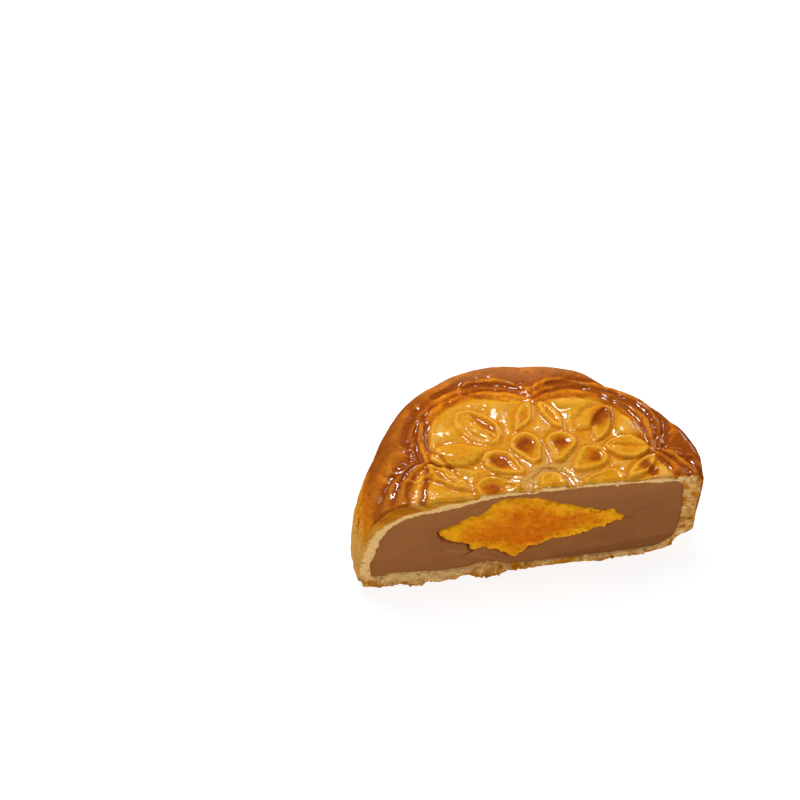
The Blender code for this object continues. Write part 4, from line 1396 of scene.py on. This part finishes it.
def attribute(tree, name):
    """A number kept on the points, in a material."""
    return Value(add_node(tree, "ShaderNodeAttribute", attribute_name=name).outputs["Fac"])


def object_place(tree):
    """Object coordinates in millimetres."""
    place = tree.nodes.new("ShaderNodeTexCoord").outputs["Object"]
    return add_node(tree, "ShaderNodeVectorMath", {0: place, 3: 1 / MM}, operation="SCALE").outputs[0]


def mixed(tree, share, a, b):
    """A colour between two others."""
    node = add_node(tree, "ShaderNodeMix", {0: share}, data_type="RGBA")
    for place, colour in ((6, a), (7, b)):
        feed(node.inputs[place], colour if isinstance(colour, bpy.types.NodeSocket) else (*colour, 1.0))
    return node.outputs[2]


def ramp_colours(tree, value, stops):
    """Colours along a value."""
    node = add_node(tree, "ShaderNodeValToRGB", {0: value})
    elements = node.color_ramp.elements
    elements[0].position, elements[0].color = stops[0][0], (*stops[0][1], 1.0)
    elements[1].position, elements[1].color = stops[-1][0], (*stops[-1][1], 1.0)
    for place, colour in stops[1:-1]:
        elements.new(place).color = (*colour, 1.0)
    return node.outputs[0]


def bump_of(tree, height, distance, strength):
    """A bumped normal from a height."""
    inputs = {"Height": height, "Distance": distance, "Strength": strength}
    return add_node(tree, "ShaderNodeBump", inputs).outputs[0]


def set_inputs(shader, inputs):
    """Feed a shader's inputs by name."""
    for name, item in inputs.items():
        feed(shader.inputs[name], item)


def crust_marks(tree, place):
    """What the crust's material knows of each place: numbers kept on the points, grain and position."""
    names = ("down_side", "field", "wet", "crumb", "hollow", "ground", "crease", "toast")
    at = SimpleNamespace(**{name: attribute(tree, name) for name in names})
    at.x, at.y, at.z = parts_of(tree, place)
    at.patches, at.mottle, at.specks, at.pores = grain_of(tree, place, 1.0, 2.0)
    at.rim = ramp(0.0, 4.0, attribute(tree, "outside"))
    # The back of the rim, where the skin is painted paler as a sheen of the light behind
    at.back = at.rim * ramp(9.0, 15.0, at.y)
    at.border = 1.0 - at.field
    # Painted shade in the band beside the flower's shapes, patchy in strength
    at.valley = high_of(at.ground * -1.0, 0.0) * (0.5 + at.patches * 0.6 + at.mottle * 0.4)
    return at


def browning(tree, place, at):
    """How far the crust has baked, from 0 on the pale side to 1 in the deepest grooves, plus painted shade
    and light from the relief and painted sheen on the back rim.
    """
    bake = attribute(tree, "ornament_bake") * ramp(0.9, 0.2, at.down_side) + 0.37
    # Less browned on the back rim: partly its own lighter bake, partly painted sheen of the light from behind
    bake = bake + at.rim * 0.16 - at.back * 0.16 + at.border * 0.10
    bake = bake + at.patches * (0.16 + at.border * 0.22) + at.mottle * (0.14 + at.border * 0.14)
    # Browner in hollows and paler where the relief stands out: partly glaze that pooled and browned, partly
    # painted shade and painted light
    bake = bake + at.specks * 0.08 + at.hollow * (0.14 + at.border * 0.14)
    bake = bake + at.border * (1.0 - at.rim) * (0.12 - ramp(2.0, 10.0, at.y) * 0.12)
    bake = bake + at.border * ramp(-14.0, -24.0, at.x) * ramp(-8.0, -2.0, at.y) * 0.10
    left = ramp(-26.0, -36.0, at.x)
    fallen = ramp(22.0 - left * 3.0, 17.5 - left * 4.0, at.z)
    crease = at.crease * fallen * ramp(-20.0, -11.0, at.y)
    tongue = noise_value(tree, place, 6.0, 11.0, 3.0) * 4.5
    line = 13.0 + tongue - crease * 4.5 - left * 2.0
    paling = ramp(line + 2.0 + left * 5.0, line - 2.5 - left * 3.0, at.z) * fallen
    edge_stain = ridge(at.z - line - 1.8, 3.2) * fallen * (1.0 - left * 0.8)
    bake = bake + crease * 0.12 + edge_stain * 0.16 - left * ramp(24.0, 17.0, at.z) * 0.55
    return low_of(high_of(bake, 0.36), 0.92) - paling * 0.42


def glazed_skin(tree, colours, bake, at):
    """The glazed skin: browning, the wet yellow ground, paler pillows, yellow crests and pooled glaze, with
    painted shade in hollows, painted light on crests and painted sheen on the moat and back rim.
    """
    skin = ramp_colours(tree, bake, [
        (0.0, colours.pale), (0.22, colours.pale), (0.42, colours.golden),
        (0.58, colours.amber), (0.80, colours.brown), (1.0, colours.dark)])
    # Less yellow in hollows, partly as painted shade
    yellow = at.field * (0.72 + at.mottle * 0.55 - at.patches * 0.45 - at.hollow * 1.0 - at.specks * 0.35)
    skin = mixed(tree, clamped(yellow), skin, colours.land)
    # Paler puffed-up ground, partly painted sheen on those pillows; on the wet moat the pale colour is
    # painted sheen
    swollen_and_sheen = high_of(at.ground, 0.0) * (0.34 + at.patches * 0.9 + at.mottle * 0.5)
    swollen_and_sheen = swollen_and_sheen + at.patches * 0.3 - 0.1 + at.wet * (at.mottle * 0.7 + 0.5)
    skin = mixed(tree, clamped(swollen_and_sheen * at.field), skin, colours.blister_and_sheen)
    # Crest colour where the relief stands out: partly the tops' own paler colour, partly painted light on
    # them
    raised = high_of(at.hollow * -1.0, 0.0)
    crests = at.field * (0.05 + raised * 1.2 + at.specks * 0.15)
    crests = crests + at.border * raised * (0.34 - at.rim * 0.15)
    skin = mixed(tree, clamped(crests), skin, colours.crest)
    # Amber beside the shapes and in the hollows: painted shade
    skin = mixed(tree, clamped(at.field * (at.valley * 0.58 + at.hollow * 0.5)), skin, colours.amber)
    # Pooled glaze, darker in hollows partly as painted shade
    pooled = at.field * (at.wet * 0.22 + at.specks * 0.12 + at.hollow * 0.2)
    pooled = pooled + at.specks * at.wet * 0.3 - at.mottle * at.wet * 0.2
    skin = mixed(tree, clamped(pooled), skin, colours.pooled)
    # Painted sheen of the light behind, on the back rim
    return mixed(tree, at.back * 0.12, skin, colours.blister_and_sheen)


def crust_material(colours):
    """Egg-washed crust: browning by place with painted shade and light from the relief, yellow flower, pale
    side and cream crumb at the cut.
    """
    material, tree, shader = material_tree("baked_crust")
    place = object_place(tree)
    at = crust_marks(tree, place)
    skin = glazed_skin(tree, colours, browning(tree, place, at), at)
    char = noise_value(tree, place, 2.0, 14.0, 4.0, 0.65)
    toast = at.toast * 0.68 + char * (0.25 + at.toast * 0.7) + 0.10
    toasted = ramp_colours(tree, toast, [
        (0.0, colours.crumb), (0.3, colours.crumb), (0.6, colours.golden), (1.0, colours.amber)])
    gloss = ramp(12.0, 19.0, at.z) * (1.0 - at.crumb)
    shine = 0.45 + at.valley * 0.5 + at.hollow * 0.9 + at.wet * 0.6 + at.patches * 0.5 + at.mottle * 0.5
    drops = noise_value(tree, place, 1.0, 19.0, 1.0)
    grain = at.specks * 0.85 + at.mottle * 0.9 + at.pores * (0.25 + at.crumb * 1.5)
    grain = grain + drops * (at.wet * 1.6 + at.crumb * 1.0 + 0.15 + at.border * (1.0 - at.rim) * 0.5)
    set_inputs(shader, {
        "Base Color": mixed(tree, at.crumb, skin, toasted),
        "Roughness": 0.62 - gloss * 0.22 - at.wet * gloss * 0.12 + at.mottle * 0.05,
        "Specular IOR Level": 0.0,
        "Coat Weight": clamped(gloss * shine * (1.0 - at.back * 0.7)),
        "Coat IOR": 1.5, "Coat Roughness": 0.11,
        "Subsurface Weight": 0.06, "Subsurface Radius": (1.0, 0.45, 0.15), "Subsurface Scale": 0.0015,
        "Normal": bump_of(tree, grain, 0.0004, 0.8),
    })
    return material


def paste_material(colours):
    """Smooth moist paste with faint smears from the knife."""
    material, tree, shader = material_tree("lotus_paste")
    place = object_place(tree)
    x, y, z = parts_of(tree, place)
    cloud, smear, streaks, _ = grain_of(tree, vector_of(tree, x * 0.35, y, z), 1.2, 6.0, 0.5)
    shade_line = x * 0.11 + 2.4 + cloud * 0.5
    shade = ramp(shade_line + 0.7, shade_line - 0.7, z) * ramp(1.0, 8.0, x)
    streak_line = 9.9 - (x + 19.2) * 0.48 + cloud * 0.4
    streak = ridge(z - streak_line, 0.7) * ramp(-20.5, -18.0, x) * ramp(0.0, -4.0, x)
    light = ramp(17.0, 25.0, z) * 0.35 + ramp(-10.0, -25.0, x) * 0.15 + smear * 0.25 + streaks * 0.1
    light = clamped(light + cloud * 0.25 + 0.4 + streak * 0.6 - shade * 0.6)
    grain = smear * 0.6 + streaks * 0.3 + noise_value(tree, place, 0.5, 9.0, 3.0) * 0.4
    set_inputs(shader, {
        "Base Color": mixed(tree, light, colours.paste, colours.paste_light),
        "Roughness": 0.5 + smear * 0.06, "Specular IOR Level": 0.12,
        "Subsurface Weight": 0.1, "Subsurface Radius": (1.0, 0.5, 0.25), "Subsurface Scale": 0.002,
        "Normal": bump_of(tree, grain, 0.00008, 0.5),
    })
    return material


def yolk_material(colours):
    """Grainy oily yolk, deeper orange in the middle."""
    material, tree, shader = material_tree("salted_yolk")
    cloud, lumps, grains, fine = grain_of(tree, object_place(tree), 1.0, 13.0)
    near_edge = ramp(0.45, 1.08, attribute(tree, "near_rim") + cloud * 0.5)
    dry = clamped(near_edge * 0.85 + grains * 0.32 + lumps * 0.6 + fine * 0.1 + 0.06)
    set_inputs(shader, {
        "Base Color": mixed(tree, dry, colours.yolk, colours.yolk_rim),
        "Roughness": 0.42 + grains * 0.12, "Specular IOR Level": 0.08,
        "Subsurface Weight": 0.12, "Subsurface Radius": (1.0, 0.45, 0.1), "Subsurface Scale": 0.0015,
        "Normal": bump_of(tree, grains * 0.8 + fine * 0.3 + lumps * 1.2, 0.0004, 0.9),
    })
    return material


class AddCrust(bpy.types.Operator):
    """Build the baked crust in place of the plain solid"""

    bl_idname = "mooncake.add_crust"
    bl_label = "Crust"

    def execute(self, context):
        scene = context.scene
        crust = build_crust(scene.mooncake_sizes, crust_material(scene.mooncake_colours))
        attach(crust, "root")
        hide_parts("crust")
        return {"FINISHED"}


class AddPaste(bpy.types.Operator):
    """Build the lotus seed paste in place of the plain solid"""

    bl_idname = "mooncake.add_paste"
    bl_label = "Paste"

    def execute(self, context):
        scene = context.scene
        paste = build_paste(scene.mooncake_sizes, paste_material(scene.mooncake_colours))
        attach(paste, "root")
        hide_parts("lotus_paste")
        return {"FINISHED"}


class AddYolk(bpy.types.Operator):
    """Build the salted yolk in place of the plain solid"""

    bl_idname = "mooncake.add_yolk"
    bl_label = "Yolk"

    def execute(self, context):
        scene = context.scene
        yolk = build_yolk(scene.mooncake_sizes, yolk_material(scene.mooncake_colours))
        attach(yolk, "root")
        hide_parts("egg_yolk")
        return {"FINISHED"}


class AddCrumbs(bpy.types.Operator):
    """Scatter loose crumbs over the cut edge of the crust"""

    bl_idname = "mooncake.add_crumbs"
    bl_label = "Crumbs"

    def execute(self, context):
        crust = bpy.data.objects["baked_crust"]
        crumbs = build_crumbs(crust, context.scene.mooncake_sizes.crumbs, crust.data.materials[0])
        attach(crumbs, "root")
        return {"FINISHED"}


def aim_at(thing, place, target):
    """Put a lamp or a camera at a place in millimetres and turn it to a target."""
    thing.location = Vector(place) * MM
    aim = (Vector(target) - Vector(place)) * MM
    thing.rotation_euler = aim.to_track_quat("-Z", "Y").to_euler()
    bpy.context.scene.collection.objects.link(thing)


def add_floor(colour):
    """A plain pale floor."""
    material, tree, shader = material_tree("pale_floor")
    speck = noise_value(tree, object_place(tree), 60.0, 1.0, 2.0)
    set_inputs(shader, {
        "Base Color": mixed(tree, clamped(speck * 0.02 + 0.02), colour, FLOOR_SPECK),
        "Roughness": 0.9, "Emission Color": (1.0, 1.0, 1.0, 1.0), "Emission Strength": FLOOR_GLOW,
    })
    half = FLOOR_SIZE / 2
    corners = [(-half, -half, 0.0), (half, -half, 0.0), (half, half, 0.0), (-half, half, 0.0)]
    floor = mesh_of("floor", corners, [[0, 1, 2, 3]], {}, material)
    floor.visible_glossy = False


def add_world():
    """An even white world that glossy reflections don't see."""
    world = bpy.data.worlds.new("studio")
    world.use_nodes = True
    background = world.node_tree.nodes["Background"]
    background.inputs["Color"].default_value = (1.0, 1.0, 1.0, 1.0)
    background.inputs["Strength"].default_value = WORLD_STRENGTH
    world.cycles_visibility.glossy = False
    bpy.context.scene.world = world


def add_camera(lens):
    """The camera at the photograph's viewing angle."""
    camera = bpy.data.objects.new("camera", bpy.data.cameras.new("camera"))
    camera.data.sensor_width = 36.0
    camera.data.lens = lens / MM
    camera.data.clip_start = 0.01
    aim_at(camera, CAMERA_PLACE, CAMERA_AIM)
    bpy.context.scene.camera = camera


class AddStage(bpy.types.Operator):
    """Set up the plain floor, the soft lights and the camera"""

    bl_idname = "mooncake.add_stage"
    bl_label = "Stage"

    def execute(self, context):
        studio = context.scene.mooncake_studio
        add_floor(studio.floor)
        for name, setting, share, place, size, in_gloss in LIGHTS:
            lamp = bpy.data.lights.new(name, "AREA")
            lamp.energy = getattr(studio, setting) * share
            lamp.size = size * MM
            light = bpy.data.objects.new(name, lamp)
            light.visible_glossy = in_gloss
            aim_at(light, place, LIGHT_AIM)
        add_world()
        add_camera(studio.lens)
        context.scene.view_settings.view_transform = "Standard"
        return {"FINISHED"}


OPERATORS = (AddStage, AddCrust, AddCrumbs, AddPaste, AddYolk)


class MooncakePanel(bpy.types.Panel):
    """Lists the steps that build the half."""

    bl_idname = "VIEW3D_PT_mooncake"
    bl_label = "Half mooncake"
    bl_space_type = "VIEW_3D"
    bl_region_type = "UI"
    bl_category = "Mooncake"

    def draw(self, context):
        scene = context.scene
        for group in (scene.mooncake_sizes, scene.mooncake_colours, scene.mooncake_studio):
            for name in group.__annotations__:
                self.layout.prop(group, name)
        for operator in OPERATORS:
            self.layout.operator(operator.bl_idname)


CLASSES = (HalfCakeSizes, HalfCakeColours, StudioSettings, *OPERATORS, MooncakePanel)


def register():
    for item in CLASSES:
        bpy.utils.register_class(item)
    bpy.types.Scene.mooncake_sizes = PointerProperty(type=HalfCakeSizes)
    bpy.types.Scene.mooncake_colours = PointerProperty(type=HalfCakeColours)
    bpy.types.Scene.mooncake_studio = PointerProperty(type=StudioSettings)


def unregister():
    del bpy.types.Scene.mooncake_studio
    del bpy.types.Scene.mooncake_colours
    del bpy.types.Scene.mooncake_sizes
    for item in reversed(CLASSES):
        bpy.utils.unregister_class(item)


def main():
    register()
    bpy.ops.mooncake.add_stage()
    bpy.ops.mooncake.add_crust()
    bpy.ops.mooncake.add_crumbs()
    bpy.ops.mooncake.add_paste()
    bpy.ops.mooncake.add_yolk()


if __name__ == "__main__":
    main()
